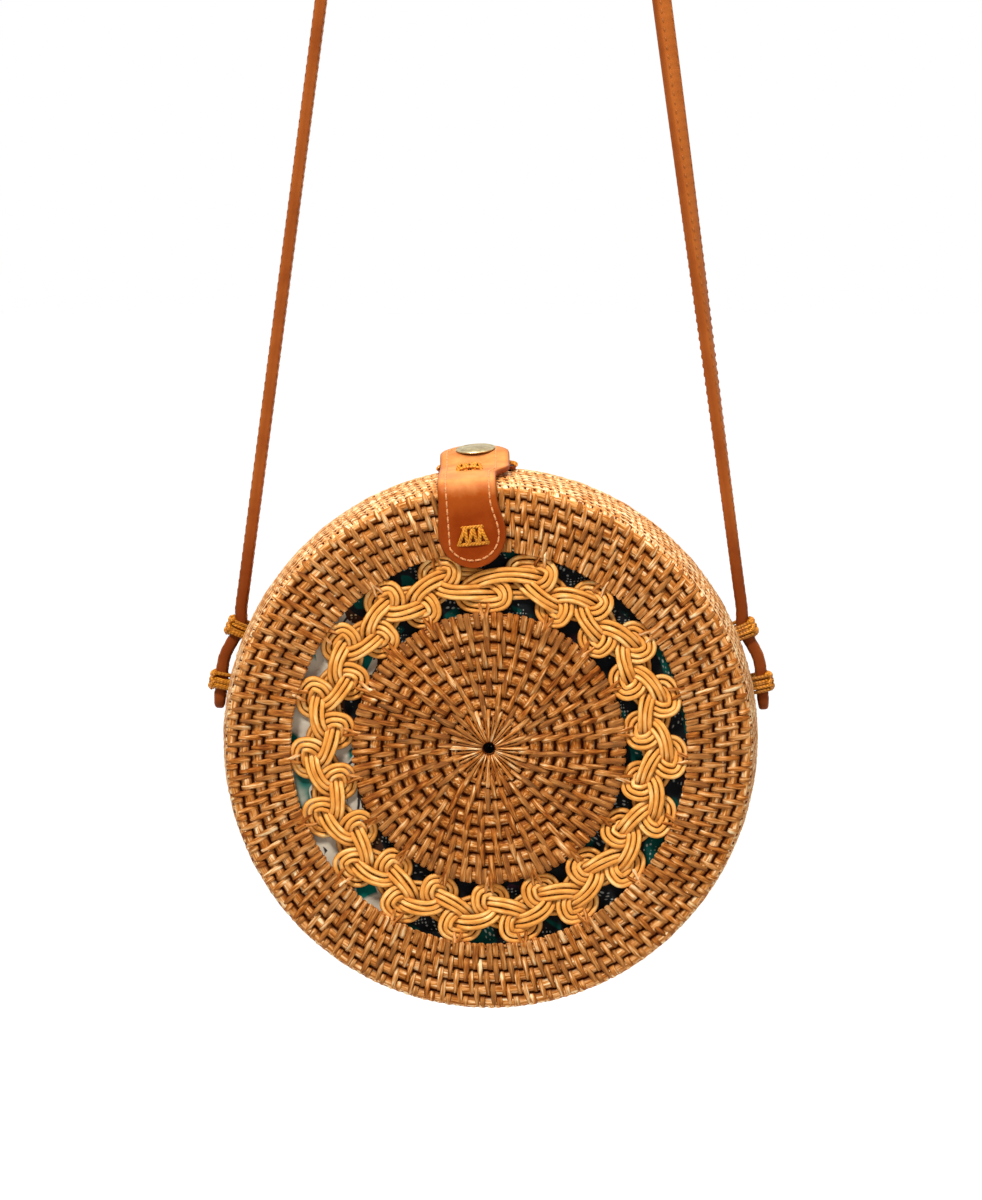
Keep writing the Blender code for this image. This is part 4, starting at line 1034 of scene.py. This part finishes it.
def make_tab_stitching(path):
    """One row of stitches all round the tab, a little in from its edge."""
    travel = travelled(path)
    length = travel[-1]
    fine = np.linspace(TAB_STITCH_INSET, length - TAB_STITCH_INSET, 400)
    spots = sample(fine, travel, path)
    normal = np.cross(ACROSS, tangents(spots))
    seams = []
    for side in (1, -1):
        flat = np.maximum(tab_half_width(fine, length, side) - TAB_STITCH_INSET, 0)
        for radius, gap in ((TAB_WIDTHS[side][0], fine), (TAB_WIDTHS[side][2], length - fine)):
            reach = radius - TAB_STITCH_INSET
            share = np.clip((gap - TAB_STITCH_INSET) / reach, 0, 1)
            flat = np.minimum(flat, np.sqrt(1 - (1 - share) ** 2) * reach)
        seams.append(spots + ACROSS * (side * flat)[:, None] + normal * TAB_THICK)
    outline = np.concatenate([seams[0], seams[1][::-1]])
    normals = np.concatenate([normal, normal[::-1]])
    travel = travelled(outline)
    count = round(travel[-1] / TAB_STITCH_PITCH)
    pitch = travel[-1] / count
    before, behind = TAB_STITCH_GAP
    piece = Piece("tab_stitching")
    for index in range(count):
        mark = index * pitch + np.linspace(before, pitch - behind, len(TAB_STITCH_LIFTS))
        facing = sample(mark, travel, normals)
        spine = sample(mark, travel, outline) + facing * TAB_STITCH_LIFTS[:, None]
        piece.tube(tab_world(spine), tab_turned(facing), TAB_STITCH_SECTION, seed=index * 0.37)
    piece.finish(TAB_STITCH, "waxed_thread", [], "lid", "flap", **TAB_BEND)


def make_tab_lashings(path):
    """Turns of thread that tie the tab down: leaning legs between two bars, wider at the foot."""
    travel = travelled(path)
    normals = np.cross(ACROSS, tangents(path))
    # Strands as (left, right, low, high, lift, how clear of the gaps), the first four in shares
    strands = [(-0.5, 0.5, -0.47, -0.44, 0.0009, 0.95), (-0.48, 0.48, 0.44, 0.47, 0.0011, 0.95)]
    # Each leg is a thread up and one down, the second a little in painted shade, with two low dark strands
    # under them that paint the shade between the legs
    for index in range(TAB_LASHING_LEGS):
        for near, far, low, high, lift, clear in ((0.06, 0.5, -0.5, 0.48, 0.0016, 0.95),
                                                  (0.94, 0.56, -0.5, 0.48, 0.0013, 0.85),
                                                  (0.3, 0.3, -0.44, 0.2, 0.0003, 0.0),
                                                  (0.7, 0.7, -0.44, 0.2, 0.0003, 0.0)):
            strands.append(((index + near) / TAB_LASHING_LEGS - 0.5, (index + far) / TAB_LASHING_LEGS - 0.5,
                            low, high, lift, clear))
    share = np.linspace(0, 1, 9)
    arch = np.sin(math.pi * share) ** 0.5
    for name, (centre, foot, head, height, stand) in TAB_LASHINGS.items():
        piece = Piece(name + "_thread")
        for left, right, low, high, lift, clear in strands:
            rise = low + (high - low) * share
            across = (left + (right - left) * share) * (foot + (head - foot) * (rise + 0.5))
            marks = centre + rise * height
            normal = sample(marks, travel, normals)
            level = TAB_THICK - 0.0004 + (lift - 0.0002 + stand * clear) * arch
            spots = sample(marks, travel, path) + normal * level[:, None] + ACROSS * across[:, None]
            piece.tube(tab_world(spots), tab_turned(normal), TAB_LASHING_SECTION, tone=(0.5, clear, 0),
                       seed=dice.random())
        piece.finish(THREAD, "waxed_thread", [name], "lid")


def make_snap_cap():
    """Domed cap with a rolled rim."""
    turn = np.arange(48)[:, None] * TAU / 48
    tilt = np.array((0.0, math.cos(FLAP_TILT), math.sin(FLAP_TILT)))
    up = np.array((0.0, -math.sin(FLAP_TILT), math.cos(FLAP_TILT)))
    seat = np.array((SNAP_SIDE, SNAP_BACK, SNAP_SEAT))
    rings = [seat + ACROSS * radius * np.cos(turn) + tilt * radius * np.sin(turn) + up * height
             for radius, height in CAP_PROFILE]
    piece = Piece("snap_cap_dome")
    piece.grid(tab_world(rings)[None], np.zeros(3), np.array((0.5, 1.0, 0.0)))
    piece.finish(BRASS, "antique_brass", ["snap_cap"], "flap", smooth_deg=35)


# Strap

STRAP_DROP = 0.560
STRAP_BACK = 0.00555
STRAP_WIDE = 0.0075
STRAP_THICK = 0.0045
STRAP_TWIST = math.radians(52)
PEG = 0.018
FOOT_X = 0.09405
# Lashed end, as (distance from the middle, height over the bag's centre)
STRAP_END_ROUTE = ((0.0943, 0.0402), (0.0975, 0.0345), (0.1001, 0.0295), (0.1012, 0.0245), (0.1014, 0.0195),
                   (0.1021, 0.0140), (0.1024, 0.0092))
STRAP_END_MARKS = np.array([0.00002, 0.0003, 0.0009, 0.0018, 0.0028])
STRAP_STEP_START = 0.0038
STRAP_STEP = 0.00115
STRAP_END_LENGTH = 0.036
STRAP_TOP_LENGTH = 0.03
STRAP_ROUND_LENGTH = 0.0055
STRAP_GROOVE = 0.00022
# Painted shade near each tip: how far from the tip it starts, and how long it takes to come in
STRAP_TIP_SHADE = (0.09, 0.06)
STRAP_STITCH_PITCH = 0.0034
STRAP_STITCH_START = 0.006
STRAP_STITCH_REACH = 0.0011
STRAP_STITCH_SIDE = 0.0026
STRAP_STITCH_DROPS = np.array([-0.0007, -0.00022, -0.00014, -0.00022, -0.0007])
STRAP_STITCH_SECTION = circle(4, 0.00022, 0.00018)
SWING_HALF_LENGTH = 0.0065
STRAP_BEND = {"start": (0, 0, -STRAP_DROP + SWING_HALF_LENGTH),
              "end": (0, 0, -STRAP_DROP - SWING_HALF_LENGTH)}


def strap_line():
    """The strap's middle line, from the left tip over the peg to the right tip."""
    foot = np.array((FOOT_X, -STRAP_DROP))
    arc = PEG + STRAP_THICK / 2
    rise = STRAP_DROP - PEG
    lean = math.acos(arc / math.hypot(foot[0], rise)) - math.atan2(rise, foot[0])
    turns = np.linspace(math.pi / 2, lean, 14)
    line = [(arc * math.cos(turn), -PEG + arc * math.sin(turn)) for turn in turns]
    touch = np.array(line[-1])
    line += [touch + (foot - touch) * share for share in np.linspace(0, 1, 60)[1:]]
    line += [(x, BAG[2] + z) for x, z in STRAP_END_ROUTE]
    right = np.array([(x, 0.0, z) for x, z in line])
    return catmull(np.concatenate([right[::-1] * (-1, 1, 1), right[1:]]), 6)


def strap_section():
    """Rounded oblong, in shares of half the width and half the thickness."""
    turns = np.linspace(0, TAU, 18, endpoint=False)
    return np.array([(math.copysign(abs(math.cos(turn)) ** 0.55, math.cos(turn)),
                      math.copysign(abs(math.sin(turn)) ** 0.5, math.sin(turn))) for turn in turns])


def make_strap():
    """The long strap with its lashed ends, twisted on the right run, and its four rows of stitches."""
    line = strap_line()
    travel = travelled(line)
    total = travel[-1]
    middle = np.arange(STRAP_STEP_START, total - STRAP_STEP_START, STRAP_STEP)
    marks = np.concatenate([STRAP_END_MARKS, middle, total - STRAP_END_MARKS[::-1]])
    centres = sample(marks, travel, line)
    out = unit(np.cross(tangents(centres), BACK))
    run = (marks - (total / 2 + STRAP_TOP_LENGTH)) / (total / 2 - STRAP_TOP_LENGTH - STRAP_END_LENGTH)
    twist = STRAP_TWIST * np.sin(math.pi * np.clip(run, 0, 1))[:, None] ** 2
    turned = BACK * np.cos(twist) + out * np.sin(twist)
    out = out * np.cos(twist) - BACK * np.sin(twist)
    tip = np.minimum(marks, total - marks)
    blunt = np.sqrt(np.clip(1 - (1 - np.clip(tip / STRAP_ROUND_LENGTH, 0, 1)) ** 2, 0.0005, 1))
    scallop = np.cos(marks * TAU / STRAP_STITCH_PITCH)
    shape = strap_section()
    sides = shape[:, 0] * (STRAP_WIDE / 2 * blunt * (1 + 0.010 * scallop))[:, None]
    lifts = shape[:, 1] * (STRAP_THICK / 2 * (1 - 0.03 * scallop) * blunt ** 0.4)[:, None]
    groove = np.exp(-((np.abs(shape[:, 0]) - 0.70) / 0.12) ** 2) * (np.abs(shape[:, 1]) > 0.6)
    lifts = lifts - np.sign(lifts) * groove * STRAP_GROOVE
    points = centres[:, None] + turned[:, None] * sides[..., None] + out[:, None] * lifts[..., None]
    tone = np.ones(points.shape)
    # Painted shade darkens the strap over the last stretch to each tip
    tip_shade = 0.40 * smooth((STRAP_TIP_SHADE[0] - tip) / STRAP_TIP_SHADE[1])
    tone[..., 0] = 0.5 + 0.12 * (np.abs(shape[:, 1]) > 0.9) - tip_shade[:, None]
    tone[..., 2] = np.clip((np.abs(shape[:, 0]) - 0.9) * 6, 0, 0.6)
    piece = Piece("leather_strap")
    piece.grid(points[None], np.zeros(3), tone[None])
    piece.finish(STRAP_LEATHER, "leather", ["strap", "strap_end_left", "strap_end_right"], "strap", "back",
                 smooth_deg=70, **STRAP_BEND)
    stitches = Piece("strap_stitching")
    for edge in (-1, 1):
        for face in (-1, 1):
            for mark in np.arange(STRAP_STITCH_START, total - STRAP_STITCH_START, STRAP_STITCH_PITCH):
                local = mark + np.linspace(-STRAP_STITCH_REACH, STRAP_STITCH_REACH, len(STRAP_STITCH_DROPS))
                high = sample(local, marks, out)
                lift = face * (STRAP_THICK / 2 + STRAP_STITCH_DROPS)
                spots = (sample(local, marks, centres) + high * lift[:, None]
                         + sample(local, marks, turned) * edge * STRAP_STITCH_SIDE)
                stitches.tube(spots, high, STRAP_STITCH_SECTION, seed=mark * 70)
    stitches.finish(STRAP_STITCH, "waxed_thread", [], "strap", "back", **STRAP_BEND)


# Knots over the strap's ends

KNOT_HEIGHTS = {"upper": 0.0395, "lower": 0.0195}
KNOT_RADIUS = 0.1027
UPPER_KNOT_SETBACK = 0.0002
KNOT_TURNS = 5
KNOT_TURN_PITCH = 0.00128
KNOT_TURN_SECTION = circle(7, 0.00074, 0.0007)
KNOT_SKEW = 0.0007
# One turn over the strap, as (distance back, distance out, share of the skew)
KNOT_ROUTE = ((-0.0047, -0.0030, -1), (-0.0051, 0.0000, -1), (-0.0046, 0.0024, -0.8), (-0.0026, 0.0033, -0.4),
              (0.0, 0.0036, 0.0), (0.0026, 0.0033, 0.4), (0.0046, 0.0024, 0.8), (0.0051, 0.0, 1),
              (0.0047, -0.0030, 1))
KNOT_LUMPS = 12
LUMP_PITCH = (0.0024, 0.0019)
LUMP_STRAY = (0.0005, 0.0004)
LUMP_LEVEL = 0.0043
LUMP_ROUNDING = 60
LUMP_HALF_LENGTH = 0.0016
LUMP_CROWN = (0.0011, 0.0006)
LUMP_SECTION = circle(7, 0.0009, 0.0008)


def make_knot(row, height, side_name, side):
    """Turns of waxed thread over the strap's end, with a lumpy top."""
    outward, along = spoke(side * math.acos(height / KNOT_RADIUS))
    upward = -side * along
    radius = KNOT_RADIUS - (UPPER_KNOT_SETBACK if row == "upper" else 0)
    middle = BAG + outward * radius + BACK * STRAP_BACK
    piece = Piece("strap_knot_" + row + "_" + side_name)
    for index in range(KNOT_TURNS):
        level = (index - 2) * KNOT_TURN_PITCH
        skew = noise.uniform(-KNOT_SKEW, KNOT_SKEW)
        grow = noise.uniform(0.94, 1.12)
        line = [middle + BACK * (back * (1 + 0.3 * (grow - 1))) + outward * (out if out < 0 else out * grow)
                + upward * (level + share * skew) for back, out, share in KNOT_ROUTE]
        # Painted shade on the turns, stronger on every other one; the lumps get a little too
        clear = 0.5 + 0.35 * (index % 2)
        piece.tube(catmull(line, 3), upward + 0.01, KNOT_TURN_SECTION, tone=(0.5, clear, 0),
                   seed=dice.random())
    for index in range(KNOT_LUMPS):
        across = (index % 4 - 1.5) * LUMP_PITCH[0]
        rise = (index // 4 - 1) * LUMP_PITCH[1]
        spot = (middle + BACK * (across + noise.uniform(-LUMP_STRAY[0], LUMP_STRAY[0]))
                + upward * (rise + noise.uniform(-LUMP_STRAY[1], LUMP_STRAY[1]))
                + outward * (LUMP_LEVEL - LUMP_ROUNDING * across ** 2))
        slope = 0.7 if (index + index // 4) % 2 else 2.3
        way = (BACK * math.cos(slope) + upward * math.sin(slope)) * LUMP_HALF_LENGTH
        line = [spot + way * share + outward * (LUMP_CROWN[0] * (1 - share * share) - LUMP_CROWN[1])
                for share in (-1, -0.5, 0, 0.5, 1)]
        piece.tube(catmull(line, 2), outward + 0.01, LUMP_SECTION, tone=(0.5, 0.85, 0), seed=dice.random())
    piece.finish(THREAD, "waxed_thread", ["strap_lashing_" + row + "_" + side_name], "back")


# Leather patch under the flap, and its two knots

PATCH_RADIUS = RADIUS + GAP
PATCH_SHEET = 0.0010
PATCH_HALF_LENGTH = 0.0145
PATCH_SETBACK = 0.0012
PATCH_DEPTH = 0.0115
PATCH_KNOT_SIDE = 0.0123
PATCH_KNOT_LEVEL = 0.0012
PATCH_KNOT_BACK = 0.0068
PATCH_KNOT_PITCH = 0.0011
PATCH_KNOT_LEAN = 0.0006
PATCH_KNOT_HALF_LENGTH = 0.0026
PATCH_KNOT_RISE = 0.0009
PATCH_KNOT_LAYER = 0.0002
PATCH_KNOT_SECTION = circle(6, 0.0005, 0.00045)


def make_patch():
    across = np.linspace(-1, 1, 25)
    layers = []
    for shift in (0.0, PATCH_SHEET):
        lines = []
        for share in np.linspace(0, 1, 9):
            tuck = 1 - 0.10 * (2 * share - 1) ** 6
            angle = (SNAP_SIDE + across * PATCH_HALF_LENGTH * tuck) / PATCH_RADIUS
            lift = PATCH_RADIUS + shift
            lines.append(np.stack([lift * np.sin(angle), 0 * angle + PATCH_SETBACK + share * PATCH_DEPTH,
                                   lift * np.cos(angle)], -1))
        layers.append(np.array(lines))
    loop = np.concatenate([layers[0], layers[1][:, ::-1]], axis=1)
    piece = Piece("closure_patch_leather")
    piece.grid(tab_world(loop)[None], np.zeros(3), np.array((0.45, 1.0, 0.0)))
    piece.finish(LEATHER, "leather", ["closure_patch"], "back", smooth_deg=40)
    for name, side in (("patch_lashing_left", -1), ("patch_lashing_right", 1)):
        make_patch_knot(name, (SNAP_SIDE + side * PATCH_KNOT_SIDE) / PATCH_RADIUS)


def make_patch_knot(name, angle):
    """Crossed turns of thread that tie one end of the patch down."""
    outward, along = spoke(angle)
    middle = outward * (PATCH_RADIUS + PATCH_KNOT_LEVEL) + BACK * PATCH_KNOT_BACK
    piece = Piece(name + "_thread")
    for index in range(5):
        for lean in (-1, 1):
            shift = (index - 2) * PATCH_KNOT_PITCH
            line = [middle + BACK * (shift + lean * PATCH_KNOT_LEAN * share)
                    + along * PATCH_KNOT_HALF_LENGTH * share
                    + outward * (PATCH_KNOT_RISE * math.sqrt(max(1 - share * share, 0))
                                 + lean * PATCH_KNOT_LAYER)
                    for share in np.linspace(-1, 1, 7)]
            piece.tube(tab_world(catmull(line, 2)), tab_turned(outward), PATCH_KNOT_SECTION,
                       seed=dice.random())
    piece.finish(THREAD, "waxed_thread", [name], "back")


# Cane hinge loops at the foot of the seam, each of two canes that cross it

HINGE_SIDE = 0.029
HINGE_LANE = 0.0009
HINGE_SETBACK = 0.0004
HINGE_HALF_BEND = 0.0025
HINGE_SECTION = circle(8, 0.00095, 0.0008)
# Half of a cane's arch, as (distance from the seam, rise)
HINGE_ROUTE = ((0.0075, -0.0012), (0.0068, 0.0006), (0.0045, 0.0014), (0.0018, 0.0020))


def make_hinge_loop(side_name, side):
    piece = Piece("hinge_loop_" + side_name)
    outward, along = spoke(math.pi - side * math.asin(HINGE_SIDE / RADIUS))
    route = [(-reach, rise) for reach, rise in HINGE_ROUTE] + [(0, 0.0022), *HINGE_ROUTE[::-1]]
    for lane in (-1, 1):
        line = [BAG + outward * (RADIUS + rise - HINGE_SETBACK) + BACK * reach + along * lane * HINGE_LANE
                for reach, rise in route]
        piece.tube(catmull(line, 3), outward, HINGE_SECTION, tone=(0.5 + 0.1 * lane, 1, 0),
                   seed=dice.random())
    nodes = [piece.name + half for half in ("_front", "_back")]
    piece.finish(CANE, "coiled_cane", nodes, "back", "lid", start=(0, BAG[1] + HINGE_HALF_BEND, 0),
                 end=(0, BAG[1] - HINGE_HALF_BEND, 0))


# Stage

PHOTO_HEIGHT_PX = 1200
FOCAL_PX = 5312
CENTRE_DROP_PX = 135
SENSOR_MM = 36
CAMERA_DISTANCE = 1.9955
CAMERA_ELEVATION = math.radians(7.8)
CAMERA_YAW = math.radians(1.2)
FLOOR_HEIGHT = -1.25
FLOOR_SIZE = 14


def facing(yaw, elevation):
    """Direction from the bag towards a camera."""
    level = math.cos(elevation)
    return Vector((math.sin(yaw) * level, -math.cos(yaw) * level, math.sin(elevation)))


def place_on_stage(obj, place, look):
    """Put a camera or lamp in its place, looking one way."""
    bpy.context.scene.collection.objects.link(obj)
    obj.location = place
    obj.rotation_mode = "QUATERNION"
    obj.rotation_quaternion = look.to_track_quat("-Z", "Y")


def make_camera():
    data = bpy.data.cameras.new("camera")
    data.sensor_fit = "VERTICAL"
    data.sensor_height = SENSOR_MM
    data.lens = FOCAL_PX * SENSOR_MM / PHOTO_HEIGHT_PX
    data.clip_end = 50
    camera = bpy.data.objects.new("camera", data)
    pitch = CAMERA_ELEVATION - math.atan(CENTRE_DROP_PX / FOCAL_PX)
    place_on_stage(camera, Vector(BAG) + facing(CAMERA_YAW, CAMERA_ELEVATION) * CAMERA_DISTANCE,
                   -facing(CAMERA_YAW, pitch))
    bpy.context.scene.camera = camera


def make_light(name, place, size, power):
    data = bpy.data.lights.new(name, "AREA")
    data.size = size
    data.energy = power
    place_on_stage(bpy.data.objects.new(name, data), place, Vector(BAG) - Vector(place))


def background_rays(n):
    """1 for the rays that show the background: the camera's, and those off metal and through glass."""
    rays = n.add("LightPath").outputs
    glass = n.math("MAXIMUM", rays["Is Glossy Ray"], rays["Is Transmission Ray"])
    return n.math("MAXIMUM", rays["Is Camera Ray"], glass)


def make_world():
    world = bpy.context.scene.world or bpy.data.worlds.new("world")
    bpy.context.scene.world = world
    n = Nodes(world)
    n.tree.nodes.clear()
    soft = n.add("Background", {0: WHITE, 1: 0.20})
    white = n.add("Background", {0: WHITE, 1: 1.0})
    mix = n.add("MixShader", {0: background_rays(n), 1: soft.outputs[0], 2: white.outputs[0]})
    n.add("OutputWorld", {0: mix.outputs[0]})


def make_floor():
    """White floor that keeps the bag's shadow."""
    n = new_nodes("floor_look")
    n.put((0.9, 0.9, 0.89), n.shader.inputs["Base Color"])
    n.put(0.9, n.shader.inputs["Roughness"])
    glow = n.add("Emission", {0: WHITE, 1: n.math("MULTIPLY", background_rays(n), 0.82)})
    blend = n.add("AddShader", {0: n.shader.outputs[0], 1: glow.outputs[0]})
    output = next(node for node in n.tree.nodes if node.type == "OUTPUT_MATERIAL")
    n.put(blend.outputs[0], output.inputs[0])
    mesh = bpy.data.meshes.new("floor")
    corners = [(x * FLOOR_SIZE, y * FLOOR_SIZE, FLOOR_HEIGHT)
               for x, y in ((-1, -1), (1, -1), (1, 1), (-1, 1))]
    mesh.from_pydata(corners, [], [(0, 1, 2, 3)])
    mesh.materials.append(n.owner)
    floor = bpy.data.objects.new("floor", mesh)
    bpy.context.scene.collection.objects.link(floor)


def main():
    bpy.context.scene.view_settings.view_transform = "Standard"
    make_camera()
    make_world()
    make_floor()
    make_light("key", (-0.6, -1.35, 1.3), 0.4, 60)
    make_light("top", (0.2, 0.0, 0.9), 0.6, 18)
    make_light("fill", (1.5, -1.4, 0.2), 1.0, 8)
    make_front_ring()
    make_centre_disc()
    make_back()
    make_strand("braid_inner_canes", "braid_strand_inner", 0.5, 1)
    make_strand("braid_outer_canes", "braid_strand_outer", 0.0, -1)
    make_lashings()
    make_lining("front_lining", -1, "lid")
    make_lining("back_lining", 1, "back")
    path = tab_path()
    make_tab(path)
    make_tab_stitching(path)
    make_tab_lashings(path)
    make_snap_cap()
    make_strap()
    for row, height in KNOT_HEIGHTS.items():
        make_knot(row, height, "left", -1)
        make_knot(row, height, "right", 1)
    make_patch()
    make_hinge_loop("left", -1)
    make_hinge_loop("right", 1)
    for node in ("snap_socket", "snap_stud"):
        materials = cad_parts[node].data.materials
        materials.clear()
        materials.append(BRASS)


main()
